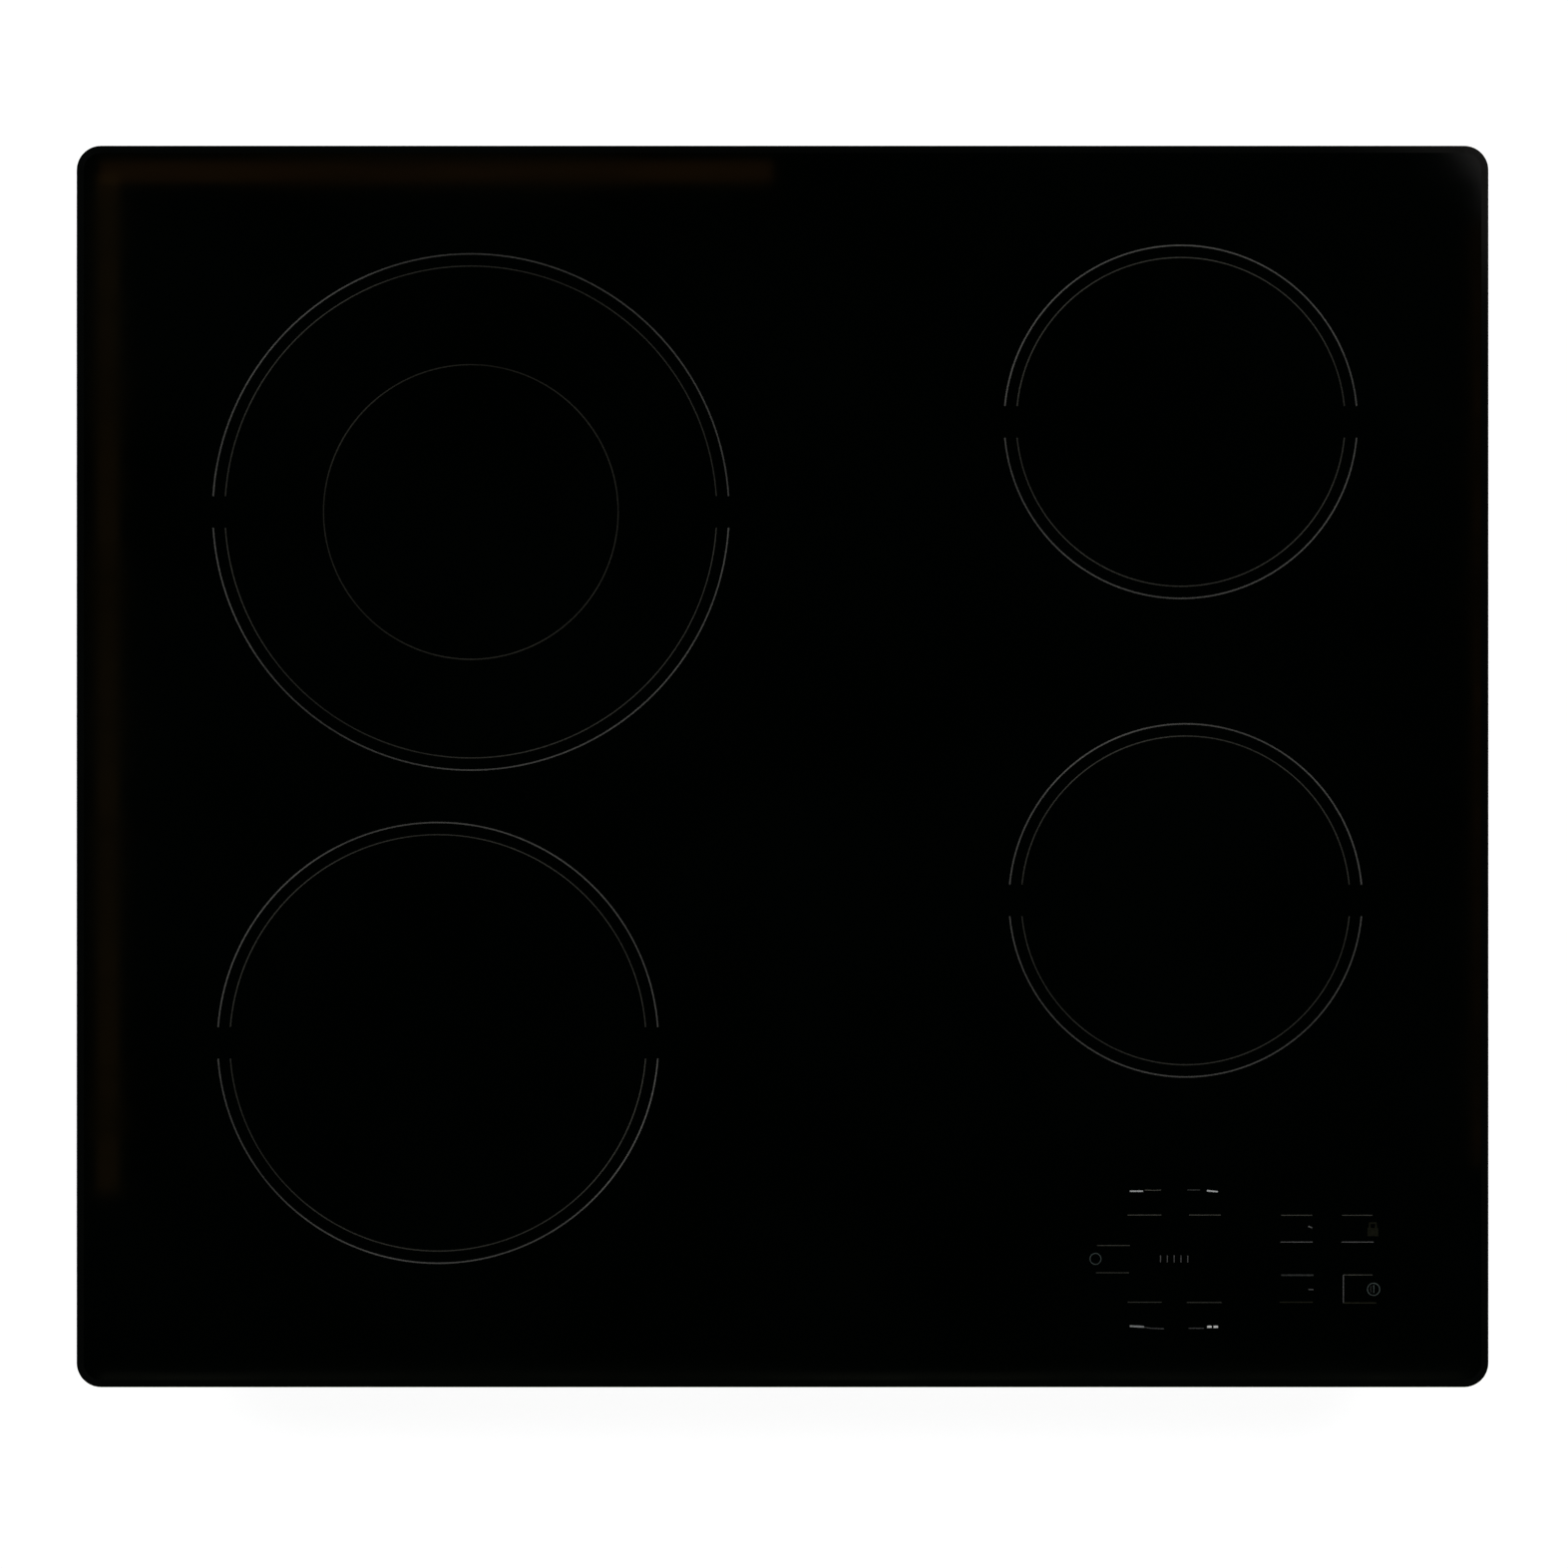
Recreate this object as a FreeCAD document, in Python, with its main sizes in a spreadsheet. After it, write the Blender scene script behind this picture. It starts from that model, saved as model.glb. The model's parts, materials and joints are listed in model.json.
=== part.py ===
"""Built-in induction cooktop, 580 x 510 mm: a glass-ceramic plate over a sheet-steel pan.

Frame: millimetres, +Z up, +X to the user's right, +Y to the back. The origin is the centre of the worktop
plane, z = 0, on which the perimeter seal rests. The pan hangs below it through the worktop's cut-out.
Build order: sizes, helpers, one function per sub-part, checks, export.
"""
import FreeCAD, Part
import Sketcher
import math
import os

V = FreeCAD.Vector
doc = FreeCAD.newDocument("induction_cooktop")

# ---------------------------------------------------------------------------------------------- sizes
SIZES = [
    # glass-ceramic plate
    ("glass_width", 580, "left to right"),
    ("glass_depth", 510, "front to back"),
    ("glass_thick", 4, "plate thickness"),
    ("glass_corner", 10, "corner radius in plan"),
    ("glass_overhang", 14, "how far the plate stands out past the pan, all round"),
    ("facet_width", 3, "ground facet round the top edge, in plan"),
    ("facet_drop", 0.8, "ground facet, height"),
    # printed zone rings: a fine line, broken at the left and right
    ("print_thick", 0.1, "enamel thickness"),
    ("ring_line", 0.6, "line width"),
    ("ring_sides", 60, "straight runs of a printed circle"),
    ("ring_break", 13, "gap in the line at three and nine o'clock"),
    # cooking zones: centres from the plate's nearer side edge and from its middle, and printed diameters
    ("rear_left_x", 162, "from the left edge"),
    ("rear_left_y", 104.5, "behind centre"),
    ("rear_left_dia", 212, "outer circuit"),
    ("rear_left_core_dia", 121, "inner circuit"),
    ("front_left_x", 148.5, "from the left edge"),
    ("front_left_y", 113.5, "in front of centre"),
    ("front_left_dia", 181, "printed diameter"),
    ("rear_right_x", 126.5, "from the right edge"),
    ("rear_right_y", 141.5, "behind centre"),
    ("rear_right_dia", 145, "printed diameter"),
    ("front_right_x", 124.5, "from the right edge"),
    ("front_right_y", 55, "in front of centre"),
    ("front_right_dia", 145, "printed diameter"),
    # foam seal under the plate's edge
    ("seal_thick", 2, "height when compressed"),
    ("seal_inset", 1.5, "set back from the plate's edge"),
    ("seal_gap", 1, "clear of the pan's wall"),
    # pressed steel pan
    ("pan_drop", 48, "worktop plane to the pan's underside"),
    ("pan_sheet", 0.8, "sheet thickness"),
    ("pan_corner", 12, "corner radius in plan"),
    ("pan_edge", 2, "bevel of the bend along the bottom"),
    ("rim_gap", 0.3, "pan's rim to the glass"),
    ("bead_width", 12, "stiffening bead pressed into the floor"),
    ("bead_depth", 1.5, "bead, height above the floor"),
    ("bead_reach", 150, "bead length"),
    ("bead_taper", 6, "length of the bead's tapered end"),
    ("bead_x", 155, "bead's middle, left and right of centre"),
    ("bead_y", 143, "bead's middle, in front of and behind centre"),
    ("slot_width", 4, "ventilation slot"),
    ("slot_pitch", 9, "slot to slot"),
    ("intake_slots", 7, "slots in the floor under the blower"),
    ("intake_slot_long", 52, "intake slot length"),
    ("exhaust_slots", 23, "slots in the front exhaust"),
    ("exhaust_slot_long", 26, "exhaust slot length"),
    ("exhaust_inset", 16, "exhaust slots from the front wall"),
    # angle rails bonded under the glass, to which the pan is screwed
    ("rail_sheet", 1.5, "sheet thickness"),
    ("rail_leg", 10, "bonded leg"),
    ("rail_drop", 15, "hanging leg"),
    ("rail_end_gap", 28, "rail's end to the pan's inner wall"),
    ("rail_screw_x", 110, "front and rear screws, left and right of centre"),
    # worktop spring clips and their screws
    ("clip_y", 150, "from the centre, front and back"),
    ("clip_width", 24, "strip width"),
    ("clip_sheet", 0.8, "spring steel thickness"),
    ("clip_bulge", 7, "how far the bow stands out of the pan"),
    ("clip_tab", 16, "flat tab, height"),
    ("clip_bow", 24, "bow, height"),
    ("clip_bend", 4, "bend radius at the bow's crest"),
    ("screw_drop", 8, "screw axis below the worktop plane"),
    ("screw_radius", 1.7, "shank, corner radius of its three-lobed thread, drawn with six sides"),
    ("screw_reach", 6, "shank length"),
    ("screw_head_radius", 3.6, "hexagon head, corner radius"),
    ("screw_head_high", 2.2, "head height"),
    ("screw_sides", 6, "flats of heads, shanks and terminal nuts"),
    ("hole_gap", 0.15, "clearance round a screw, stem, pin or bar in its hole"),
    # coil stack, from the glass down
    ("mica_thick", 1, "insulating sheet"),
    ("mica_margin", 8, "sheet's edge beyond the coils"),
    ("mica_rail_gap", 2, "least distance of the sheet's edge from the rails"),
    ("sensor_well_gap", 0.8, "sensor's head to the walls of its well"),
    ("mica_hole_gap", 2, "sensor's head to the edge of the hole in the sheet"),
    ("winding_thick", 4, "flat litz winding"),
    ("winding_sides", 24, "straight stretches of a turn, three to each gap between the former's arms"),
    ("coil_margin", 15, "printed diameter less winding diameter"),
    ("core_margin", 5, "inner circuit's printed diameter less its winding diameter"),
    ("circuit_gap", 5, "inner winding to outer winding"),
    ("former_high", 6, "arms of the former"),
    ("hub_radius", 16, "former's eight-sided hub, corner radius"),
    ("hub_floor", 1.5, "hub's bottom wall"),
    ("arm_width", 12, "former's arm"),
    ("arm_count", 8, "arms and ferrite bars of a former"),
    ("lip_thick", 2, "lip that holds the winding in"),
    ("lip_high", 3, "lip above the arm"),
    ("fit_gap", 0.4, "clearance round windings, ferrites and lips"),
    ("ferrite_width", 6, "ferrite bar"),
    ("ferrite_thick", 4, "ferrite bar"),
    ("ferrite_inset", 3, "bar's ends from the hub and from the winding's edge"),
    ("sensor_side", 12, "temperature sensor's square head"),
    ("sensor_head_high", 3, "head height"),
    ("sensor_stem", 5, "square stem, which keeps the head from turning"),
    ("sensor_travel", 3, "how far the glass can press it down"),
    ("sensor_barb", 0.8, "snap barb on the stem's foot, out and in height"),
    ("spring_radius", 5.8, "spring round the stem"),
    ("spring_wall", 1.2, "spring's wire"),
    ("spring_sides", 12, "sides of the spring's envelope"),
    # coil tray: one folded aluminium sheet
    ("tray_sheet", 1.2, "sheet thickness"),
    ("tray_bend", 1.5, "inner radius of the folds"),
    ("tray_side_gap", 5, "folded side to the pan's wall"),
    ("tray_end_gap", 14, "front and rear edges to the pan's wall"),
    ("tray_hole", 18, "square lead hole under each hub"),
    ("bay_width", 150, "cut-away for the touch control, from the right side"),
    ("bay_depth", 92, "cut-away, from the front edge"),
    # inverter boards
    ("heat_sink_inset", 1.5, "from the centre line"),
    ("heat_sink_width", 26, "extrusion width"),
    ("heat_sink_high", 30, "extrusion height"),
    ("heat_sink_long", 190, "extrusion length"),
    ("heat_sink_y", 22, "extrusion's middle, in front of centre"),
    ("fin_count", 7, "fins"),
    ("fin_thick", 1.4, "fin thickness"),
    ("fin_web", 4, "extrusion's solid side, against which the transistors sit"),
    ("board_width", 176, "circuit board, left to right"),
    ("board_depth", 196, "circuit board, front to back"),
    ("board_thick", 1.6, "laminate"),
    ("board_gap", 3, "heat sink to board, bridged by the transistors"),
    ("carrier_wall", 2, "plastic board carrier"),
    ("carrier_rim", 6, "carrier's rim height, on which the board lies"),
    ("carrier_margin", 1, "carrier's edge beyond the board"),
    ("transistor_count", 4, "power transistors on each board"),
    ("transistor_width", 16, "package"),
    ("transistor_thick", 5, "package"),
    ("transistor_high", 20, "package"),
    ("transistor_pitch", 38, "package to package"),
    ("capacitor_width", 32, "film capacitor"),
    ("capacitor_thick", 15, "film capacitor"),
    ("capacitor_high", 22, "film capacitor"),
    ("capacitor_count", 3, "on each board"),
    ("capacitor_pitch", 42, "capacitor to capacitor"),
    ("capacitor_out", 128, "capacitors' middle from the board's inner edge"),
    ("choke_width", 34, "choke's E-core, front to back"),
    ("choke_thick", 26, "E-core, left to right"),
    ("choke_high", 24, "E-core height"),
    ("choke_limb", 6, "limbs and backs of the core"),
    ("choke_coil", 17, "winding on the middle limb, left to right"),
    ("choke_out", 62, "choke's middle from the board's inner edge"),
    # radial blower
    ("scroll_radius", 41, "smallest radius of the scroll"),
    ("scroll_step", 5, "growth of the scroll in each quarter turn"),
    ("scroll_end_steps", 2.5, "growth up to the outlet's outer wall, in steps"),
    ("scroll_wall", 1.5, "housing wall"),
    ("scroll_high", 30, "housing height"),
    ("blower_y", 88.2, "impeller axis from the pan's rear wall, inside"),
    ("outlet_gap", 1, "blower's outlet to the board carriers"),
    ("outlet_side_gap", 1, "outlet's inner wall past the left heat sink"),
    ("inlet_radius", 28, "air inlet in the housing's underside"),
    ("wheel_radius", 36, "impeller"),
    ("wheel_high", 21, "impeller blades' height"),
    ("blade_count", 20, "impeller blades"),
    ("blade_depth", 8, "blade, radially"),
    ("blade_thick", 1, "blade thickness"),
    ("blade_lean", 5, "how far a blade's tip runs ahead of its root"),
    ("blade_bow", 1.6, "how far its middle does"),
    ("wheel_disc", 1.5, "impeller's back plate"),
    ("wheel_gap", 3, "impeller to the housing's roof"),
    ("cup_radius", 15, "rotor cup, outside"),
    ("cup_wall", 1.5, "rotor cup"),
    ("cup_high", 15, "rotor cup"),
    ("stator_gap", 1, "air gap between the stator and the cup"),
    ("motor_flange", 30, "square flange under the housing's roof"),
    ("motor_flange_thick", 1.5, "motor flange"),
    ("pole_width", 6, "stator pole, across"),
    ("pole_pairs", 3, "pairs of opposite poles"),
    ("bearing_wall", 2, "bearing tube round the shaft"),
    ("shaft_radius", 1.5, "motor shaft"),
    ("shaft_gap", 0.05, "running clearance of the shaft"),
    ("shaft_end_gap", 1, "shaft's end to the motor's flange"),
    # touch control: every x is measured from the plate's right edge, and every y from its front edge
    ("control_x", 104, "control board's centre"),
    ("control_y", 55, "control board's centre"),
    ("control_width", 124, "control board"),
    ("control_depth", 66, "control board"),
    ("pad_high", 8, "sprung contact pads, board to glass"),
    ("pad_width", 10, "contact pad"),
    ("pad_depth", 7, "contact pad"),
    ("zone_key_near_x", 117, "right pair of zone keys"),
    ("zone_key_far_x", 141.5, "left pair of zone keys"),
    ("zone_key_rear_y", 76, "rear pair of zone keys"),
    ("zone_key_front_y", 30, "front pair of zone keys"),
    ("dual_key_x", 154.5, "dual-circuit key"),
    ("dual_key_y", 53, "dual-circuit key and timer display"),
    ("side_key_near_x", 53.5, "lock and power keys"),
    ("side_key_far_x", 79, "plus and minus keys"),
    ("side_key_rear_y", 65, "plus and lock keys"),
    ("side_key_front_y", 40.5, "minus and power keys"),
    ("display_high", 6, "seven-segment display"),
    ("display_width", 8, "zone display"),
    ("display_depth", 7, "zone display"),
    ("display_near_x", 118.5, "right pair of zone displays"),
    ("display_far_x", 140, "left pair of zone displays"),
    ("display_rear_y", 64.5, "rear pair of zone displays"),
    ("display_front_y", 41.5, "front pair of zone displays"),
    ("timer_x", 129.2, "timer display"),
    ("timer_width", 14, "timer display"),
    ("bracket_wall", 1.8, "plastic bracket under the control board"),
    ("bracket_rim", 4, "bracket's rim, on which the board lies"),
    ("bracket_leg", 8, "bracket's square legs"),
    ("bracket_margin", 1, "bracket's edge beyond the board"),
    # mains terminal box in the rear wall
    ("terminal_x", 81, "box's middle from the pan's right side"),
    ("terminal_width", 92, "box, left to right"),
    ("terminal_depth", 55, "box, into the pan"),
    ("terminal_high", 28, "box height"),
    ("terminal_lift", 5.5, "box above the pan's floor"),
    ("terminal_wall", 2, "moulded wall"),
    ("flange_thick", 1.5, "flange against the outside of the pan"),
    ("flange_lap", 3, "flange beyond the pan's window"),
    ("window_gap", 0.3, "box to the window's edge"),
    ("inlet_width", 26, "part of the box's face that holds the cable inlet"),
    ("cable_radius", 7, "cable inlet"),
    ("cable_boss_wall", 2.2, "inlet's boss"),
    ("cable_boss_long", 9, "inlet's length"),
    ("lid_thick", 1.8, "lid"),
    ("lid_lap", 1.5, "lid over the edge of the opening"),
    ("lid_gap", 0.2, "lid to the flange"),
    ("lid_barrel_radius", 1.6, "rolled hinge edge of the lid"),
    ("lid_pin_radius", 1, "hinge pins at the barrel's ends"),
    ("lid_pin_long", 2, "hinge pins"),
    ("lid_ear_long", 3, "ears that hold the pins"),
    ("lid_ear_gap", 0.3, "barrel's end to the ear"),
    ("block_width", 50, "terminal block"),
    ("block_depth", 16, "terminal block"),
    ("block_high", 15, "terminal block"),
    ("terminal_count", 5, "terminals"),
    ("wire_hole", 6, "square wire hole"),
    ("terminal_screw_radius", 3.4, "hexagonal terminal nut, corner radius"),
    ("terminal_screw_high", 1.6, "terminal screw's head"),
]
sheet = doc.addObject("Spreadsheet::Sheet", "Sizes")
for row, (alias, value, note) in enumerate(SIZES, start=1):
    sheet.set(f"A{row}", alias)
    sheet.set(f"B{row}", str(value))
    sheet.set(f"C{row}", note)
    sheet.setAlias(f"B{row}", alias)
doc.recompute()


def size(alias):
    """A driving size as a plain number, for counts and for shapes that Part's own functions make."""
    return float(sheet.get(alias))


def count(alias):
    return round(size(alias))


# Levels and places that several sub-parts share, as expressions on the sheet's cells.
S = "Sizes."
GLASS_UNDER = f"({S}seal_thick)"
GLASS_TOP = f"({S}seal_thick + {S}glass_thick)"
PAN_HALF_X = f"({S}glass_width / 2 - {S}glass_overhang)"
PAN_HALF_Y = f"({S}glass_depth / 2 - {S}glass_overhang)"
INNER_X = f"({PAN_HALF_X} - {S}pan_sheet)"
INNER_Y = f"({PAN_HALF_Y} - {S}pan_sheet)"
FLOOR = f"({S}pan_sheet - {S}pan_drop)"
COIL_TOP = f"({GLASS_UNDER} - {S}mica_thick)"
FORMER_TOP = f"({COIL_TOP} - {S}winding_thick)"
TRAY_TOP = f"({FORMER_TOP} - {S}former_high)"
TRAY_UNDER = f"({TRAY_TOP} - {S}tray_sheet)"
HUB_FLOOR = f"({TRAY_TOP} + {S}hub_floor)"
TERMINAL_FAR = f"({PAN_HALF_X} - {S}terminal_x + {S}terminal_width / 2)"
TERMINAL_NEAR = f"({TERMINAL_FAR} - {S}terminal_width)"
TERMINAL_FOOT = f"({FLOOR} + {S}terminal_lift)"
TERMINAL_TOP = f"({TERMINAL_FOOT} + {S}terminal_high)"
SINK_OUT = f"({S}heat_sink_inset + {S}heat_sink_width)"
SCROLL_END = f"({S}scroll_radius + {S}scroll_end_steps * {S}scroll_step)"
BLOWER_X = f"({SCROLL_END} - {SINK_OUT} - {S}outlet_side_gap)"
BLOWER_Y = f"({INNER_Y} - {S}blower_y)"

def left_x(alias):
    return f"({S}{alias} - {S}glass_width / 2)"


def right_x(alias):
    return f"({S}glass_width / 2 - {S}{alias})"


def front_y(alias):
    return f"({S}{alias} - {S}glass_depth / 2)"


# Cooking zones: the centre's x and y, and the printed diameter.
ZONES = {
    "rear_left": (left_x("rear_left_x"), f"({S}rear_left_y)", f"({S}rear_left_dia)"),
    "front_left": (left_x("front_left_x"), f"(-{S}front_left_y)", f"({S}front_left_dia)"),
    "rear_right": (right_x("rear_right_x"), f"({S}rear_right_y)", f"({S}rear_right_dia)"),
    "front_right": (right_x("front_right_x"), f"(-{S}front_right_y)", f"({S}front_right_dia)"),
}


def coil_radius(zone):
    """Corner radius of a zone's outermost winding."""
    return f"({ZONES[zone][2]} / 2 - {S}coil_margin / 2)"


# -------------------------------------------------------------------------------------------- helpers
parts = {}
NEAR = 1e-6  # two lengths closer than this are equal


def part(label, thing):
    """Registers a finished sub-part under the label that names its file."""
    thing.Label = label
    parts[label] = thing
    return thing


def bind(thing, **expressions):
    for prop, expression in expressions.items():
        thing.setExpression(prop, expression)
    return thing


def place(thing, x="0", y="0", z="0"):
    for axis, expression in zip("xyz", (x, y, z)):
        thing.setExpression(f"Placement.Base.{axis}", expression)
    return thing


def block(name, x, y, z):
    """A Part::Box from its low and high expression along each axis."""
    made = doc.addObject("Part::Box", name)
    bind(made, Length=f"({x[1]}) - ({x[0]})", Width=f"({y[1]}) - ({y[0]})", Height=f"({z[1]}) - ({z[0]})")
    return place(made, x[0], y[0], z[0])


def rod(name, radius, z, x="0", y="0"):
    """An upright Part::Cylinder between two levels."""
    made = doc.addObject("Part::Cylinder", name)
    bind(made, Radius=radius, Height=f"({z[1]}) - ({z[0]})")
    return place(made, x, y, z[0])


def prism(name, sides, radius, z, x="0", y="0"):
    """An upright Part::Prism between two levels; the radius is at its corners."""
    made = doc.addObject("Part::Prism", name)
    made.Polygon = sides
    bind(made, Circumradius=radius, Height=f"({z[1]}) - ({z[0]})")
    return place(made, x, y, z[0])


def centred(middle, length):
    """The low and high expression of a range about its middle."""
    return f"{middle} - {length} / 2", f"{middle} + {length} / 2"


def centred_block(name, x, y, width, depth, z):
    return block(name, centred(x, width), centred(y, depth), z)


AXIS_TURN = {
    "+X": FreeCAD.Rotation(V(0, 1, 0), 90),
    "-X": FreeCAD.Rotation(V(0, 1, 0), -90),
    "+Y": FreeCAD.Rotation(V(1, 0, 0), -90),
    "-Y": FreeCAD.Rotation(V(1, 0, 0), 90),
}


def laid(made, axis, x, y, z):
    """Turns an upright primitive to lie along an axis, from the point given."""
    made.Placement = FreeCAD.Placement(V(0, 0, 0), AXIS_TURN[axis])
    return place(made, x, y, z)


def level_rod(name, radius, length, axis, x, y, z):
    return laid(rod(name, radius, ("0", length)), axis, x, y, z)


def level_hexagon(name, radius, length, axis, x, y, z):
    return laid(prism(name, count("screw_sides"), radius, ("0", length)), axis, x, y, z)


def cut(name, base, *tools):
    made = doc.addObject("Part::Cut", name)
    made.Base = base
    made.Tool = tools[0] if len(tools) == 1 else fuse(f"{name}_tools", *tools)
    return made


def fuse(name, *shapes):
    made = doc.addObject("Part::MultiFuse", name)
    made.Shapes = list(shapes)
    made.Refine = True
    return made


def ring_prism(name, sides, inner, outer, z, x, y):
    """A many-sided ring between two corner radii."""
    made = [prism(f"{name}_{which}", sides, radius, z, x, y)
            for which, radius in (("outside", outer), ("inside", inner))]
    return cut(name, *made)


def group(name, things):
    """A compound of separate solids that share one node."""
    made = doc.addObject("Part::Compound", name)
    made.Links = list(things)
    return made


def body(name, x="0", y="0", z="0"):
    return place(doc.addObject("PartDesign::Body", name), x, y, z)


def sketch(piece, name, plane, offset):
    made = piece.newObject("Sketcher::SketchObject", name)
    made.AttachmentSupport = (next(f for f in piece.Origin.OriginFeatures if f.Role == plane), "")
    made.MapMode = "FlatFace"
    made.setExpression("AttachmentOffset.Base.z", offset)
    return made


def bound(made, kind, first, first_point, second, second_point, expression):
    index = made.addConstraint(Sketcher.Constraint(kind, first, first_point, second, second_point, 1.0))
    made.setExpression(f"Constraints[{index}]", expression)


def polygon(piece, name, corners, plane="XY_Plane", offset="0"):
    """A closed outline of straight lines; each corner's two coordinates are bound to the sheet."""
    made = sketch(piece, name, plane, offset)
    n = len(corners)
    turns = [2 * math.pi * i / n for i in range(n)]
    start = [V(math.cos(turn), math.sin(turn), 0) for turn in turns]
    for i in range(n):
        made.addGeometry(Part.LineSegment(start[i], start[(i + 1) % n]), False)
    for i in range(n):
        made.addConstraint(Sketcher.Constraint("Coincident", i, 2, (i + 1) % n, 1))
    for i, (x, y) in enumerate(corners):
        bound(made, "DistanceX", -1, 1, i, 1, x)
        bound(made, "DistanceY", -1, 1, i, 1, y)
    return made


def rectangle(piece, name, x, y, plane="XY_Plane", offset="0"):
    return polygon(piece, name, [(x[0], y[0]), (x[1], y[0]), (x[1], y[1]), (x[0], y[1])], plane, offset)


def square(piece, name, x, y, half, offset="0"):
    return rectangle(piece, name, (f"{x} - {half}", f"{x} + {half}"), (f"{y} - {half}", f"{y} + {half}"),
                     offset=offset)


def regular(piece, name, sides, radius, offset="0"):
    """A regular polygon about the origin, with a flat to the right."""
    turns = [(i + 0.5) / sides for i in range(sides)]
    corners = [(f"{radius} * cos({360 * t} deg)", f"{radius} * sin({360 * t} deg)") for t in turns]
    return polygon(piece, name, corners, offset=offset)


def pad(piece, profile, length, symmetric=False):
    made = piece.newObject("PartDesign::Pad", f"{profile.Name}_pad")
    made.Profile = profile
    if symmetric:
        made.SideType = "Symmetric"
    made.setExpression("Length", length)
    return made


def pocket(piece, profile, length):
    """A cut that runs along the sketch's normal."""
    made = piece.newObject("PartDesign::Pocket", f"{profile.Name}_cut")
    made.Profile = profile
    made.Reversed = True
    made.setExpression("Length", length)
    return made


def around(piece, name, features, profile, copies):
    """Polar pattern about the axis that stands on a sketch's origin."""
    made = piece.newObject("PartDesign::PolarPattern", name)
    made.Originals = features
    made.Axis = (profile, ["N_Axis"])
    made.Angle = 360
    made.Occurrences = copies
    piece.Tip = made
    return made


def along(piece, name, features, profile, axis, pitch, copies):
    """Linear pattern along a sketch's "H_Axis" or "V_Axis"."""
    made = piece.newObject("PartDesign::LinearPattern", name)
    made.Originals = features
    made.Direction = (profile, [axis])
    made.Mode = "Spacing"
    made.setExpression("Offset", pitch)
    made.Occurrences = copies
    piece.Tip = made
    return made


def upright_edges(shape):
    edges = enumerate(shape.Edges, start=1)
    return [f"Edge{i}" for i, e in edges if e.BoundBox.DiagonalLength - e.BoundBox.ZLength < NEAR]


def at_level(thing, level):
    return abs(thing.BoundBox.ZMin - level) < NEAR and abs(thing.BoundBox.ZMax - level) < NEAR


def edges_at(shape, level):
    return [f"Edge{i}" for i, e in enumerate(shape.Edges, start=1) if at_level(e, level)]


def faces_at(shape, level):
    return [f"Face{i}" for i, f in enumerate(shape.Faces, start=1) if at_level(f, level)]


def rounded(piece, base, names, radius, kind="PartDesign::Fillet"):
    made = piece.newObject(kind, f"{base.Name}_round")
    made.Base = (base, names)
    made.setExpression("Radius" if kind == "PartDesign::Fillet" else "Size", radius)
    return made


def rounded_slab(name, half_x, half_y, z, radius):
    """A plate centred on the origin with round corners: body, pad and fillet."""
    piece = body(name)
    profile = rectangle(piece, f"{name}_outline", (f"-{half_x}", half_x), (f"-{half_y}", half_y),
                        offset=z[0])
    slab = pad(piece, profile, f"({z[1]}) - ({z[0]})")
    doc.recompute()
    rounded(piece, slab, upright_edges(slab.Shape), radius)
    doc.recompute()
    return piece


# ------------------------------------------------------------------------------- glass, print and seal
def glass_top():
    piece = rounded_slab("glass_top", f"({S}glass_width / 2)", f"({S}glass_depth / 2)",
                         (GLASS_UNDER, GLASS_TOP), f"{S}glass_corner")
    slab = piece.Tip
    facet = piece.newObject("PartDesign::Chamfer", "ground_facet")
    facet.Base = (slab, edges_at(slab.Shape, size("seal_thick") + size("glass_thick")))
    facet.ChamferType = "Two distances"
    bind(facet, Size=f"{S}facet_drop", Size2=f"{S}facet_width")
    return part("glass_top", piece)


def ring_line(name, zone, radius, broken=True):
    """One printed circle on the glass; a broken one is open at three and nine o'clock."""
    x, y, _ = ZONES[zone]
    z = (GLASS_TOP, f"{GLASS_TOP} + {S}print_thick")
    line = ring_prism(name, count("ring_sides"), f"{radius} - {S}ring_line", radius, z, x, y)
    if not broken:
        return line
    gap = block(f"{name}_gap", (f"{x} - {radius}", f"{x} + {radius}"),
                (f"{y} - {S}ring_break / 2", f"{y} + {S}ring_break / 2"), z)
    return cut(f"{name}_broken", line, gap)


def zone_rings():
    """The enamel lines that mark the zones, on top of the glass."""
    lines = []
    for zone, (_, _, dia) in ZONES.items():
        lines.append(ring_line(f"{zone}_line", zone, f"{dia} / 2"))
    lines.append(ring_line("rear_left_core_line", "rear_left", f"{S}rear_left_core_dia / 2", broken=False))
    return part("zone_rings", group("zone_rings", lines))


def perimeter_seal():
    """Closed foam frame between the glass overhang and the worktop."""
    z = ("0", GLASS_UNDER)
    outer = rounded_slab("seal_outer", f"({S}glass_width / 2 - {S}seal_inset)",
                         f"({S}glass_depth / 2 - {S}seal_inset)", z, f"{S}glass_corner - {S}seal_inset")
    inner = rounded_slab("seal_inner", f"({PAN_HALF_X} + {S}seal_gap)",
                         f"({PAN_HALF_Y} + {S}seal_gap)", z, f"{S}pan_corner + {S}seal_gap")
    return part("perimeter_seal", cut("perimeter_seal", outer, inner))


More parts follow.
